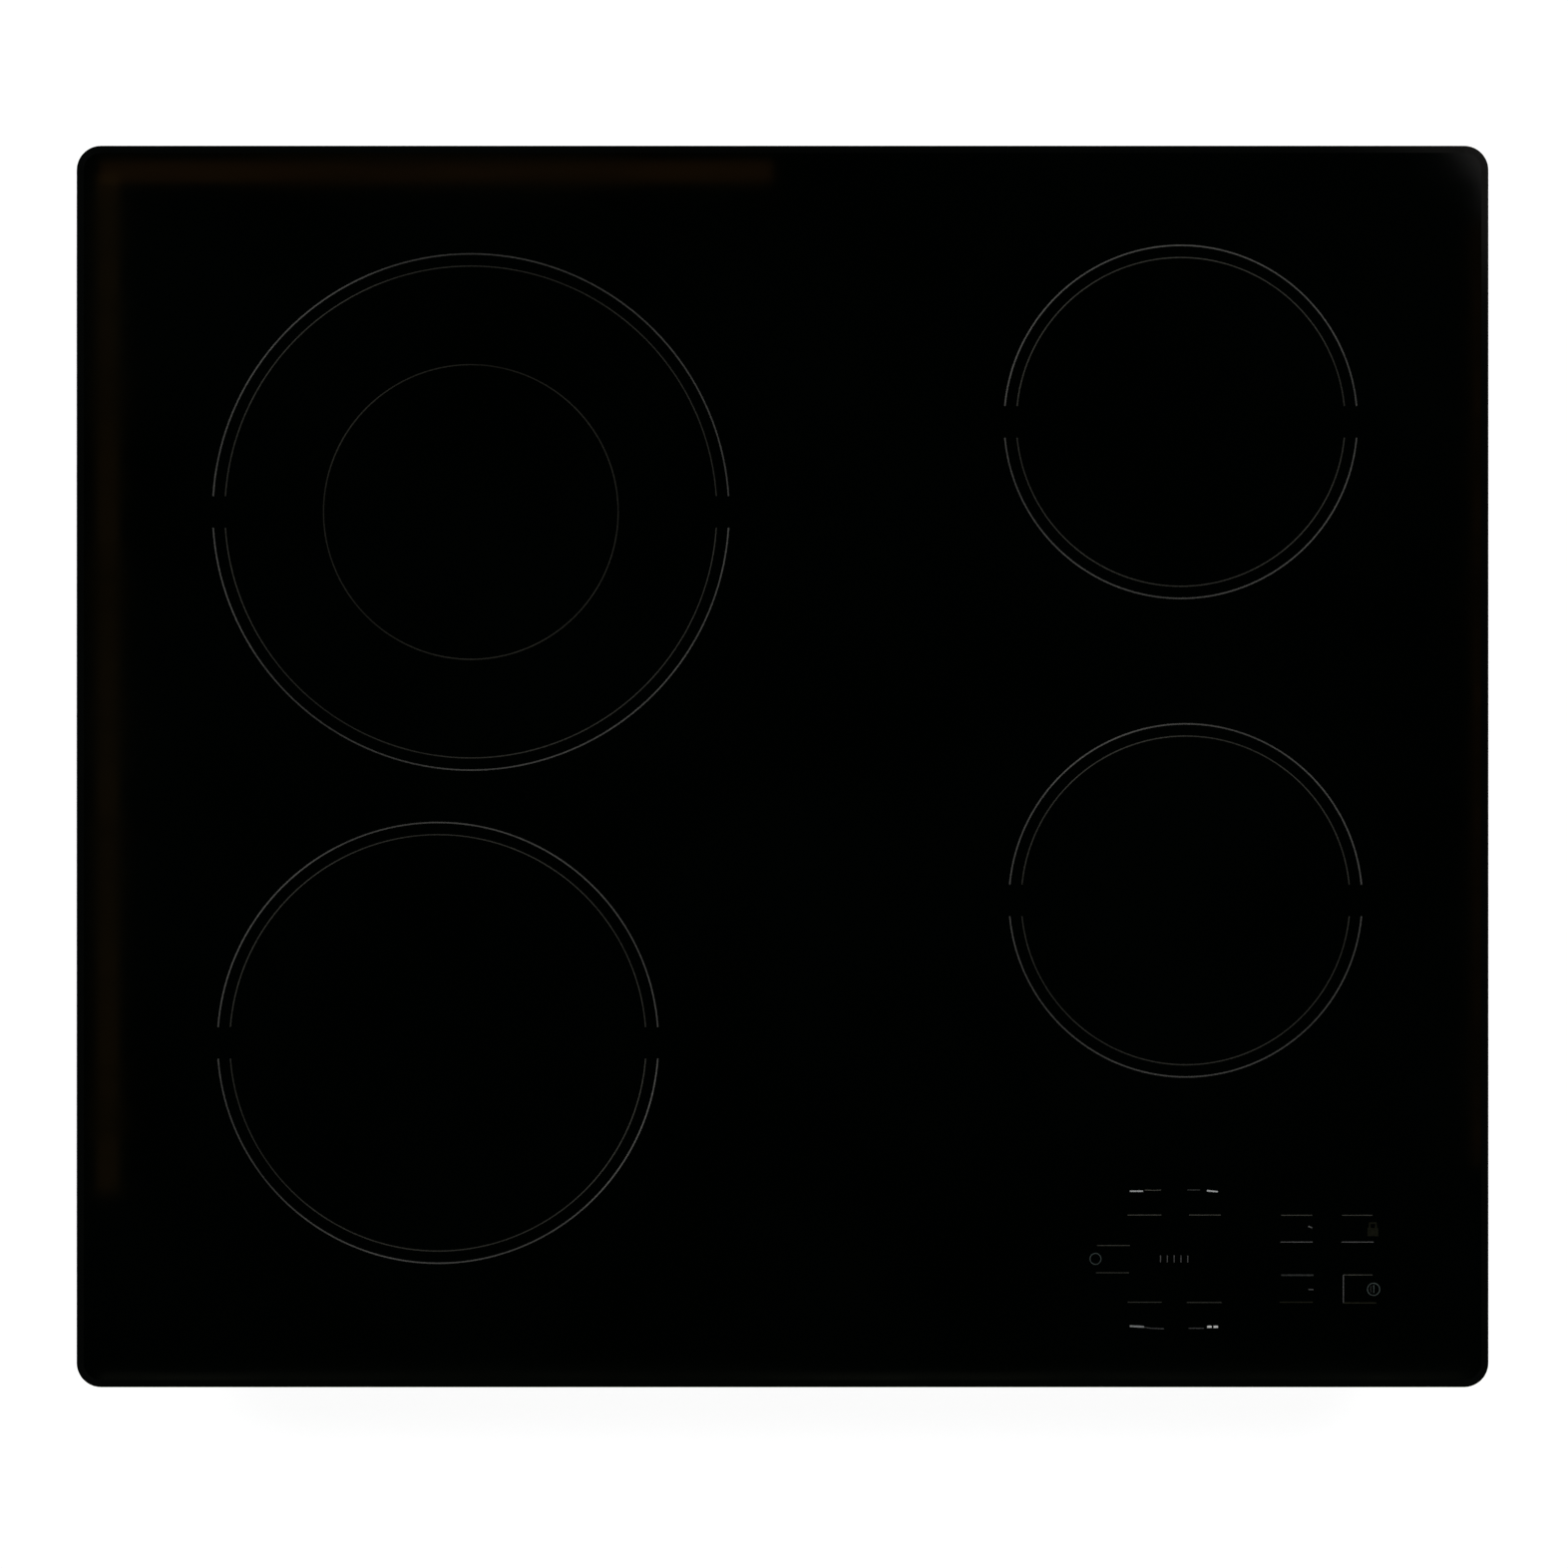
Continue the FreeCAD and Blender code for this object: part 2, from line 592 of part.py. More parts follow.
# ------------------------------------------------------------------------------------------ bottom pan
def pan_shell():
    """Deep-drawn box, open upwards: a block with round corners and a bevelled foot, shelled inwards."""
    rim = f"{GLASS_UNDER} - {S}rim_gap"
    piece = rounded_slab("drawn_pan", PAN_HALF_X, PAN_HALF_Y, (f"-{S}pan_drop", rim), f"{S}pan_corner")
    foot = edges_at(piece.Tip.Shape, -size("pan_drop"))
    drawn = rounded(piece, piece.Tip, foot, f"{S}pan_edge", "PartDesign::Chamfer")
    doc.recompute()
    top = size("seal_thick") - size("rim_gap")
    shell = piece.newObject("PartDesign::Thickness", "sheet")
    shell.Base = (drawn, faces_at(drawn.Shape, top))
    shell.Reversed = True
    bind(shell, Value=f"{S}pan_sheet")
    doc.recompute()
    return piece


def bead_outline(x, y, inset):
    """Six corners of a bead with tapered ends, drawn in by an inset."""
    half_long = f"({S}bead_reach / 2 - {inset})"
    half_flat = f"({S}bead_reach / 2 - {S}bead_taper)"
    half_wide = f"({S}bead_width / 2 - {inset})"
    return [
        (f"{x} - {half_long}", y),
        (f"{x} - {half_flat}", f"{y} - {half_wide}"),
        (f"{x} + {half_flat}", f"{y} - {half_wide}"),
        (f"{x} + {half_long}", y),
        (f"{x} + {half_flat}", f"{y} + {half_wide}"),
        (f"{x} - {half_flat}", f"{y} + {half_wide}"),
    ]


def pan_bead(piece, name, x, y):
    """A stiffening bead: raised on the inside, and as deep a groove from below."""
    raised = polygon(piece, f"{name}_raised", bead_outline(x, y, "0"), offset=FLOOR)
    pad(piece, raised, f"{S}bead_depth")
    doc.recompute()
    groove = polygon(piece, f"{name}_groove", bead_outline(x, y, f"{S}pan_sheet"), offset=f"-{S}pan_drop")
    pocket(piece, groove, f"{S}bead_depth")


def slot_row(piece, name, x, y, long, copies):
    """A row of slots through the pan's floor, centred on x, y."""
    first = f"({x} - {S}slot_pitch * {(copies - 1) / 2})"
    outline = rectangle(piece, name, (f"{first} - {S}slot_width / 2", f"{first} + {S}slot_width / 2"),
                        (f"{y} - {long} / 2", f"{y} + {long} / 2"), offset=f"-{S}pan_drop")
    slot = pocket(piece, outline, f"{S}pan_sheet")
    doc.recompute()
    along(piece, f"{name}_row", [slot], outline, "H_Axis", f"{S}slot_pitch", copies)
    doc.recompute()


def terminal_window(piece):
    """The opening in the rear wall that the terminal box is pushed through."""
    x = (f"{TERMINAL_NEAR} - {S}window_gap", f"{TERMINAL_FAR} + {S}window_gap")
    z = (f"{TERMINAL_FOOT} - {S}window_gap", f"{TERMINAL_TOP} + {S}window_gap")
    window = rectangle(piece, "terminal_window", x, z, "XZ_Plane", f"-{PAN_HALF_Y}")
    return pocket(piece, window, f"{S}pan_sheet")


INWARD = {"left": "+X", "right": "-X", "front": "+Y", "rear": "-Y"}


def screw_places(side):
    """Where the two screws through a wall stand along it, from the middle."""
    reach = f"{S}clip_y" if side in ("left", "right") else f"{S}rail_screw_x"
    return f"-{reach}", reach


def wall_point(side, place_along, out):
    """A point on a screw's axis, at a distance from the centre."""
    sign = "-" if side in ("left", "front") else ""
    if side in ("left", "right"):
        return f"{sign}({out})", place_along
    return place_along, f"{sign}({out})"


def wall_half(side):
    return PAN_HALF_X if side in ("left", "right") else PAN_HALF_Y


def square_hole(name, side, place_along):
    """Cutter for one punched screw hole, long enough for every sheet at that wall."""
    side_long = f"(2 * ({S}screw_radius + {S}hole_gap))"
    through = centred(wall_half(side), f"(2 * {S}screw_reach)")
    across = centred(place_along, side_long)
    upright = centred(f"-{S}screw_drop", side_long)
    if side in ("left", "front"):
        through = (f"-({through[1]})", f"-({through[0]})")
    if side in ("left", "right"):
        return block(name, through, across, upright)
    return block(name, across, through, upright)


def screw_holes(name, side):
    return [square_hole(f"{name}_hole{i}", side, place_along)
            for i, place_along in enumerate(screw_places(side), start=1)]


def bottom_pan():
    piece = pan_shell()
    for side_x, sign_x in (("left", "-"), ("right", "")):
        for side_y, sign_y in (("front", "-"), ("rear", "")):
            pan_bead(piece, f"{side_y}_{side_x}_bead", f"{sign_x}{S}bead_x", f"{sign_y}{S}bead_y")
            doc.recompute()
    slot_row(piece, "intake", BLOWER_X, BLOWER_Y, f"{S}intake_slot_long", count("intake_slots"))
    exhaust_y = f"({S}exhaust_inset + {S}exhaust_slot_long / 2 - {INNER_Y})"
    slot_row(piece, "exhaust", "0", exhaust_y, f"{S}exhaust_slot_long", count("exhaust_slots"))
    terminal_window(piece)
    doc.recompute()
    cutters = []
    for side in INWARD:
        cutters += screw_holes(f"pan_{side}", side)
    return part("bottom_pan", cut("bottom_pan", piece, *cutters))


# --------------------------------------------------------------------------- rails, clips and screws
def glass_rail(side):
    """Angle rail: one leg bonded under the glass, the other hanging flush against the pan's wall."""
    lengthwise = side in ("front", "rear")
    wall = INNER_Y if lengthwise else INNER_X
    half = f"({INNER_X if lengthwise else INNER_Y} - {S}rail_end_gap)"
    sign = "-" if side in ("left", "front") else ""
    inner = f"({wall} - {S}rail_leg)"
    hanging = f"({wall} - {S}rail_sheet)"
    low = f"({GLASS_UNDER} - {S}rail_drop)"
    under_leg = f"({GLASS_UNDER} - {S}rail_sheet)"
    corners = [(inner, GLASS_UNDER), (inner, under_leg), (hanging, under_leg),
               (hanging, low), (wall, low), (wall, GLASS_UNDER)]
    piece = body(f"{side}_angle")
    plane = "YZ_Plane" if lengthwise else "XZ_Plane"
    section = polygon(piece, f"{side}_section", [(f"{sign}{u}", v) for u, v in corners], plane)
    pad(piece, section, f"2 * {half}", symmetric=True)
    return part(f"{side}_glass_rail", cut(f"{side}_glass_rail", piece, *screw_holes(f"{side}_rail", side)))


def clip(label, side, place_y):
    """Spring-steel strip: a flat tab on the pan's wall, and a bow that grips the worktop's cut edge."""
    sign = "-" if side == "left" else ""
    wall = PAN_HALF_X
    top = f"({S}clip_tab / 2 - {S}screw_drop)"
    knee = f"({top} - {S}clip_tab)"
    crest = f"({knee} - {S}clip_bow / 2)"
    foot = f"({knee} - {S}clip_bow)"
    out = f"({wall} + {S}clip_sheet)"
    bulge = f"({wall} + {S}clip_bulge)"
    corners = [
        (wall, top), (wall, knee), (f"({bulge} - {S}clip_sheet)", crest), (wall, foot),
        (out, foot), (bulge, crest), (out, knee), (out, top),
    ]
    piece = body(f"{label}_strip", y=place_y)
    section = polygon(piece, f"{label}_section", [(f"{sign}{u}", v) for u, v in corners], "XZ_Plane")
    strip = pad(piece, section, f"{S}clip_width", symmetric=True)
    doc.recompute()
    level = size("clip_tab") / 2 - size("screw_drop") - size("clip_tab") - size("clip_bow") / 2
    rounded(piece, strip, edges_at(strip.Shape, level), f"{S}clip_bend")
    return part(label, cut(label, piece, square_hole(f"{label}_hole", side, place_y)))


def screw(name, side, place_along, seat):
    """Hexagon-headed sheet-metal screw; its head bears on a plane at a distance from the centre."""
    x, y = wall_point(side, place_along, f"{seat}")
    z = f"-{S}screw_drop"
    shank = level_hexagon(f"{name}_shank", f"{S}screw_radius", f"{S}screw_reach", INWARD[side], x, y, z)
    x, y = wall_point(side, place_along, f"{seat} + {S}screw_head_high")
    head = level_hexagon(f"{name}_head", f"{S}screw_head_radius", f"{S}screw_head_high", INWARD[side],
                         x, y, z)
    return fuse(name, head, shank)


def rail_screws():
    made = [
        screw(f"{side}_screw{i}", side, place_along, PAN_HALF_Y)
        for side in ("front", "rear")
        for i, place_along in enumerate(screw_places(side), start=1)
    ]
    return part("rail_screws", group("rail_screws", made))


def clip_screws():
    made = [
        screw(f"{side}_screw{i}", side, place_along, f"{PAN_HALF_X} + {S}clip_sheet")
        for side in ("left", "right")
        for i, place_along in enumerate(screw_places(side), start=1)
    ]
    return part("clip_screws", group("clip_screws", made))


# --------------------------------------------------------------------------------- tray and insulation
def fold_lines(shape, level):
    """Front-to-back edges at one level."""
    return [name for name in edges_at(shape, level) if shape.getElement(name).BoundBox.XLength < NEAR]


def coil_tray():
    """Aluminium sheet folded down at the left and right, and cut away at the front right."""
    outer = f"({INNER_X} - {S}tray_side_gap)"
    inner = f"({outer} - {S}tray_sheet)"
    half_y = f"({INNER_Y} - {S}tray_end_gap)"
    corners = [
        (f"-{outer}", FLOOR), (f"-{inner}", FLOOR), (f"-{inner}", TRAY_UNDER), (inner, TRAY_UNDER),
        (inner, FLOOR), (outer, FLOOR), (outer, TRAY_TOP), (f"-{outer}", TRAY_TOP),
    ]
    piece = body("coil_tray")
    section = polygon(piece, "tray_section", corners, "XZ_Plane")
    folded = pad(piece, section, f"2 * {half_y}", symmetric=True)
    doc.recompute()
    top = size("seal_thick") - size("mica_thick") - size("winding_thick") - size("former_high")
    outside = rounded(piece, folded, fold_lines(folded.Shape, top), f"{S}tray_bend + {S}tray_sheet")
    doc.recompute()
    rounded(piece, outside, fold_lines(outside.Shape, top - size("tray_sheet")), f"{S}tray_bend")
    doc.recompute()
    bay = rectangle(piece, "control_bay", (f"{outer} - {S}bay_width", f"{outer} + {S}tray_sheet"),
                    (f"-{half_y}", f"{S}bay_depth - {half_y}"), offset=FLOOR)
    pocket(piece, bay, f"{TRAY_TOP} - {FLOOR}")
    doc.recompute()
    for zone, (x, y, _) in ZONES.items():
        hole = square(piece, f"{zone}_lead_hole", x, y, f"{S}tray_hole / 2", TRAY_UNDER)
        pocket(piece, hole, f"{S}tray_sheet")
        doc.recompute()
    return part("coil_tray", piece)


def mica_sheet(side):
    """One insulating sheet over a side's two coils, clear of the rails, with a hole round each sensor."""
    zones = (f"rear_{side}", f"front_{side}")
    ranges = []
    for axis, inner in enumerate((INNER_X, INNER_Y)):
        rail = f"({inner} - {S}rail_leg - {S}mica_rail_gap)"
        reach = {zone: f"({coil_radius(zone)} + {S}mica_margin)" for zone in zones}
        low = "; ".join(f"{ZONES[zone][axis]} - {reach[zone]}" for zone in zones)
        high = "; ".join(f"{ZONES[zone][axis]} + {reach[zone]}" for zone in zones)
        ranges.append((f"max(min({low}); -{rail})", f"min(max({high}); {rail})"))
    piece = body(f"{side}_mica_sheet")
    outline = rectangle(piece, f"{side}_mica_outline", *ranges, offset=COIL_TOP)
    pad(piece, outline, f"{S}mica_thick")
    doc.recompute()
    for zone in zones:
        x, y, _ = ZONES[zone]
        half = f"({S}sensor_side / 2 + {S}mica_hole_gap)"
        hole = square(piece, f"{zone}_mica_hole", x, y, half, COIL_TOP)
        pocket(piece, hole, f"{S}mica_thick")
        doc.recompute()
    return part(f"{side}_mica_sheet", piece)


# --------------------------------------------------------------------------------------- coil assemblies
def coil_former(zone):
    """Moulded spider: a hub, arms that carry the winding, and a slot under each arm for a ferrite bar."""
    x, y, _ = ZONES[zone]
    piece = body(f"{zone}_coil_former", x, y)
    end = f"({coil_radius(zone)} + {S}fit_gap + {S}lip_thick)"
    lip = f"({end} - {S}lip_thick)"
    root = f"({S}hub_radius - {S}lip_thick)"
    corners = [
        (root, TRAY_TOP), (end, TRAY_TOP), (end, f"{FORMER_TOP} + {S}lip_high"),
        (lip, f"{FORMER_TOP} + {S}lip_high"), (lip, FORMER_TOP), (root, FORMER_TOP),
    ]
    side_view = polygon(piece, f"{zone}_arm", corners, "XZ_Plane")
    arm = pad(piece, side_view, f"{S}arm_width", symmetric=True)
    doc.recompute()
    half_slot = f"({S}ferrite_width / 2 + {S}hole_gap)"
    slot_outline = rectangle(piece, f"{zone}_slot", ferrite_span(zone, f"{S}hole_gap"),
                             (f"-{half_slot}", half_slot), offset=TRAY_TOP)
    slot = pocket(piece, slot_outline, f"{S}ferrite_thick + {S}hole_gap")
    doc.recompute()
    around(piece, f"{zone}_arms", [arm, slot], slot_outline, count("arm_count"))
    doc.recompute()
    hub = regular(piece, f"{zone}_hub", count("arm_count"), f"{S}hub_radius", TRAY_TOP)
    pad(piece, hub, f"{COIL_TOP} - {TRAY_TOP}")
    doc.recompute()
    well = square(piece, f"{zone}_well", "0", "0", f"({S}sensor_side / 2 + {S}sensor_well_gap)", HUB_FLOOR)
    pocket(piece, well, f"{COIL_TOP} - {HUB_FLOOR}")
    doc.recompute()
    hole = square(piece, f"{zone}_stem_hole", "0", "0", f"({S}sensor_stem / 2 + {S}hole_gap)", TRAY_TOP)
    pocket(piece, hole, f"{S}hub_floor")
    return part(f"{zone}_coil_former", piece)


def ferrite_span(zone, grow="0"):
    """Inner and outer end of a ferrite bar, from the zone's centre."""
    near = f"{S}hub_radius + {S}ferrite_inset - {grow}"
    far = f"{coil_radius(zone)} - {S}ferrite_inset + {grow}"
    return near, far


def ferrites(zone):
    """Bars that lie on the tray inside the former's arms."""
    x, y, _ = ZONES[zone]
    piece = body(f"{zone}_ferrites", x, y)
    half = f"({S}ferrite_width / 2)"
    outline = rectangle(piece, f"{zone}_bar", ferrite_span(zone), (f"-{half}", half), offset=TRAY_TOP)
    bar = pad(piece, outline, f"{S}ferrite_thick")
    doc.recompute()
    around(piece, f"{zone}_bars", [bar], outline, count("arm_count"))
    return part(f"{zone}_ferrites", piece)


def winding(label, zone, inner, outer):
    """Flat spiral of litz wire, as one ring whose turns run straight between the points that hold them."""
    x, y, _ = ZONES[zone]
    z = (FORMER_TOP, COIL_TOP)
    return part(label, ring_prism(label, count("winding_sides"), inner, outer, z, x, y))


def windings():
    inner = f"({S}hub_radius + {S}fit_gap) / cos(180 deg / {count('winding_sides')})"
    core = f"({S}rear_left_core_dia / 2 - {S}core_margin / 2)"
    winding("rear_left_inner_winding", "rear_left", inner, core)
    winding("rear_left_outer_winding", "rear_left", f"{core} + {S}circuit_gap", coil_radius("rear_left"))
    for zone in ("front_left", "rear_right", "front_right"):
        winding(f"{zone}_winding", zone, inner, coil_radius(zone))


def sensor(zone):
    """Temperature sensor, pressed up against the glass by its spring and free to slide in the hub."""
    x, y, _ = ZONES[zone]
    head_under = f"({GLASS_UNDER} - {S}sensor_head_high)"
    foot = f"({TRAY_TOP} - {S}sensor_travel)"
    barb_top = f"({foot} + {S}sensor_barb)"
    side, stem, barb = f"{S}sensor_side", f"{S}sensor_stem", f"({S}sensor_stem + 2 * {S}sensor_barb)"
    made = [
        centred_block(f"{zone}_sensor_head", x, y, side, side, (head_under, GLASS_UNDER)),
        centred_block(f"{zone}_sensor_stem", x, y, stem, stem, (foot, head_under)),
        centred_block(f"{zone}_sensor_barb", x, y, barb, stem, (foot, barb_top)),
    ]
    return part(f"{zone}_sensor", fuse(f"{zone}_sensor", *made))


def sensor_spring(zone):
    """Compression spring round the stem, as its envelope."""
    x, y, _ = ZONES[zone]
    label = f"{zone}_sensor_spring"
    inner, outer = f"{S}spring_radius - {S}spring_wall", f"{S}spring_radius"
    z = (HUB_FLOOR, f"{GLASS_UNDER} - {S}sensor_head_high")
    return part(label, ring_prism(label, count("spring_sides"), inner, outer, z, x, y))


# --------------------------------------------------------------------------------- inverter electronics
def on_side(side, near, far):
    """A range of x, given by distances from the centre line."""
    return (near, far) if side == "right" else (f"-({far})", f"-({near})")


BOARD_NEAR = f"({SINK_OUT} + {S}board_gap)"
BOARD_FAR = f"({BOARD_NEAR} + {S}board_width)"
BOARD_FRONT = f"(-{S}heat_sink_y - {S}board_depth / 2)"
BOARD_REAR = f"({S}board_depth / 2 - {S}heat_sink_y)"
BOARD_UNDER = f"({FLOOR} + {S}carrier_rim)"
BOARD_TOP = f"({BOARD_UNDER} + {S}board_thick)"


def board_carrier(side):
    """Moulded tray on the pan's floor: the heat sink stands in it and the board lies on its rim."""
    label = f"{side}_board_carrier"
    near, far = f"{S}heat_sink_inset - {S}carrier_margin", f"{BOARD_FAR} + {S}carrier_margin"
    front, rear = f"{BOARD_FRONT} - {S}carrier_margin", f"{BOARD_REAR} + {S}carrier_margin"
    wall = f"{S}carrier_wall"
    shell = block(f"{label}_block", on_side(side, near, far), (front, rear), (FLOOR, BOARD_UNDER))
    sink_bay = block(f"{label}_sink_bay", on_side(side, near, SINK_OUT),
                     (f"{front} + {wall}", f"{rear} - {wall}"), (f"{FLOOR} + {wall}", BOARD_UNDER))
    board_bay = block(f"{label}_board_bay", on_side(side, f"{BOARD_NEAR} + {wall}", f"{far} - {wall}"),
                      (f"{front} + {wall}", f"{rear} - {wall}"), (f"{FLOOR} + {wall}", BOARD_UNDER))
    return part(label, cut(label, shell, sink_bay, board_bay))


def heat_sink(side):
    """Extruded comb: a solid web for the transistors, and level fins towards the middle of the hob."""
    label = f"{side}_heat_sink"
    foot = f"({FLOOR} + {S}carrier_wall)"
    half = f"({S}heat_sink_long / 2)"
    piece = body(label, y=f"-{S}heat_sink_y", z=foot)
    web_x = on_side(side, f"{SINK_OUT} - {S}fin_web", SINK_OUT)
    fin_x = on_side(side, f"{S}heat_sink_inset", f"{SINK_OUT} - {S}fin_web")
    web = rectangle(piece, f"{side}_web", web_x, (f"-{half}", half))
    pad(piece, web, f"{S}heat_sink_high")
    doc.recompute()
    fin = rectangle(piece, f"{side}_fin", fin_x, ("0", f"{S}fin_thick"), "XZ_Plane")
    comb = pad(piece, fin, f"2 * {half}", symmetric=True)
    doc.recompute()
    pitch = f"({S}heat_sink_high - {S}fin_thick) / ({S}fin_count - 1)"
    along(piece, f"{side}_fins", [comb], fin, "V_Axis", pitch, count("fin_count"))
    doc.recompute()
    return part(label, piece)


def power_board(side):
    label = f"{side}_power_board"
    return part(label, block(label, on_side(side, BOARD_NEAR, BOARD_FAR), (BOARD_FRONT, BOARD_REAR),
                             (BOARD_UNDER, BOARD_TOP)))


def row_of(copies, pitch):
    """Offsets of equally spaced copies about the middle."""
    return [f"({pitch} * {i - (copies - 1) / 2})" for i in range(copies)]


def power_transistors():
    """Packages clamped to the web of each heat sink, with their feet on the board."""
    made = []
    for side in ("left", "right"):
        for i, step in enumerate(row_of(count("transistor_count"), f"{S}transistor_pitch")):
            middle = f"({step} - {S}heat_sink_y)"
            made.append(block(f"{side}_transistor{i + 1}",
                              on_side(side, SINK_OUT, f"{SINK_OUT} + {S}transistor_thick"),
                              centred(middle, f"{S}transistor_width"),
                              (BOARD_TOP, f"{BOARD_TOP} + {S}transistor_high")))
    return part("power_transistors", group("power_transistors", made))


def filter_capacitors():
    made = []
    for side in ("left", "right"):
        for i, step in enumerate(row_of(count("capacitor_count"), f"{S}capacitor_pitch")):
            middle = f"({step} - {S}heat_sink_y)"
            out = f"({BOARD_NEAR} + {S}capacitor_out)"
            made.append(block(f"{side}_capacitor{i + 1}",
                              on_side(side, *centred(out, f"{S}capacitor_thick")),
                              centred(middle, f"{S}capacitor_width"),
                              (BOARD_TOP, f"{BOARD_TOP} + {S}capacitor_high")))
    return part("filter_capacitors", group("filter_capacitors", made))


def filter_chokes():
    """E-core chokes: a core with two windows, and the winding that fills them round its middle limb."""
    made = []
    top = f"({BOARD_TOP} + {S}choke_high)"
    windows = (f"{BOARD_TOP} + {S}choke_limb", f"{top} - {S}choke_limb")
    for side, sign in (("left", "-"), ("right", "")):
        x, y = f"{sign}({BOARD_NEAR} + {S}choke_out)", f"-{S}heat_sink_y"
        core = centred_block(f"{side}_core", x, y, f"{S}choke_coil", f"{S}choke_width", (BOARD_TOP, top))
        coil = centred_block(f"{side}_coil", x, y, f"{S}choke_thick",
                             f"({S}choke_width - 2 * {S}choke_limb)", windows)
        made.append(fuse(f"{side}_choke", core, coil))
    return part("filter_chokes", group("filter_chokes", made))


# ---------------------------------------------------------------------------------------- radial blower
OUTLET_Y = f"({BOARD_REAR} + {S}carrier_margin + {S}outlet_gap)"
ROOF = f"({FLOOR} + {S}scroll_high)"
ROOF_UNDER = f"({ROOF} - {S}scroll_wall)"
WHEEL_TOP = f"({ROOF_UNDER} - {S}wheel_gap)"
CUP_FOOT = f"({WHEEL_TOP} - {S}cup_high)"
WHEEL_FOOT = f"({WHEEL_TOP} - {S}wheel_high)"
QUARTER_TURN = 90


def scroll(name, grow, z, outlet):
    """The housing's plan: three quarter circles whose radius grows from the tongue round to the outlet.

    Their centres are three corners of a square about the impeller's axis, so each runs smoothly into the
    next. A straight duct leads forward from the last one.
    """
    half = f"({S}scroll_step / 2)"
    centres = [(half, half), (f"-{half}", half), (f"-{half}", f"-{half}")]
    pieces = []
    for i, (x, y) in enumerate(centres):
        made = rod(f"{name}_quarter{i + 1}", f"{S}scroll_radius + {i} * {S}scroll_step + {grow}", z,
                   f"{BLOWER_X} + {x}", f"{BLOWER_Y} + {y}")
        made.Angle = QUARTER_TURN
        made.Placement.Rotation = FreeCAD.Rotation(V(0, 0, 1), (i - 1) * QUARTER_TURN)
        pieces.append(made)
    middle = block(f"{name}_middle", (f"{BLOWER_X} - {half}", f"{BLOWER_X} + {half}"),
                   (f"{BLOWER_Y} - {half}", f"{BLOWER_Y} + {half}"), z)
    duct = block(f"{name}_duct", (f"{BLOWER_X} - {SCROLL_END} - {grow}", f"{BLOWER_X} + {half} + {grow}"),
                 (outlet, f"{BLOWER_Y} - {half}"), z)
    return fuse(name, *pieces, middle, duct)


def blower_housing():
    """Moulded scroll with an open outlet towards the heat sinks and a round inlet in its underside."""
    outside = scroll("scroll_outside", f"{S}scroll_wall", (FLOOR, ROOF), OUTLET_Y)
    airway = scroll("scroll_airway", "0", (f"{FLOOR} + {S}scroll_wall", ROOF_UNDER),
                    f"{OUTLET_Y} - {S}scroll_wall")
    inlet = rod("blower_inlet", f"{S}inlet_radius", (FLOOR, f"{FLOOR} + 2 * {S}scroll_wall"),
                BLOWER_X, BLOWER_Y)
    return part("blower_housing", cut("blower_housing", outside, airway, inlet))


def blower_motor():
    """Stator of an external-rotor motor: flange under the roof, poles, and the shaft's bearing tube."""
    x, y = BLOWER_X, BLOWER_Y
    stack_foot = f"({CUP_FOOT} + {S}cup_wall + {S}stator_gap)"
    flange_under = f"({ROOF_UNDER} - {S}motor_flange_thick)"
    reach = f"({S}cup_radius - {S}cup_wall - {S}stator_gap)"
    half_pole = f"({S}pole_width / 2)"
    piece = body("motor_stack", x, y)
    pole_end = f"sqrt({reach} ^ 2 - {half_pole} ^ 2)"
    pole_plan = rectangle(piece, "pole", (f"-{pole_end}", pole_end), (f"-{half_pole}", half_pole),
                          offset=stack_foot)
    pole = pad(piece, pole_plan, f"{flange_under} - {stack_foot}")
    doc.recompute()
    poles = piece.newObject("PartDesign::PolarPattern", "poles")
    poles.Originals = [pole]
    poles.Axis = (pole_plan, ["N_Axis"])
    poles.Angle = 180 - 180 / count("pole_pairs")
    poles.Occurrences = count("pole_pairs")
    piece.Tip = poles
    doc.recompute()
    flange = centred_block("motor_flange", x, y, f"{S}motor_flange", f"{S}motor_flange",
                           (flange_under, ROOF_UNDER))
    tube = rod("bearing_tube", f"{S}shaft_radius + {S}bearing_wall", (stack_foot, flange_under), x, y)
    bore = rod("motor_bore", f"{S}shaft_radius + {S}shaft_gap", (stack_foot, flange_under), x, y)
    return part("blower_motor", cut("blower_motor", fuse("motor_solid", piece, flange, tube), bore))


def blade_corners():
    """Plan of a forward-curved blade, bent once; its tip runs ahead of its root as it turns."""
    half = f"{S}blade_thick / 2"
    root = f"({S}wheel_radius - {S}blade_depth)"
    tip = f"sqrt({S}wheel_radius ^ 2 - ({S}blade_lean + {half}) ^ 2)"
    middle = f"(({root} + {tip}) / 2)"
    line = [(root, "0"), (middle, f"{S}blade_bow"), (tip, f"{S}blade_lean")]
    behind = [(x, f"{y} - {half}") for x, y in line]
    ahead = [(x, f"{y} + {half}") for x, y in reversed(line)]
    return behind + ahead


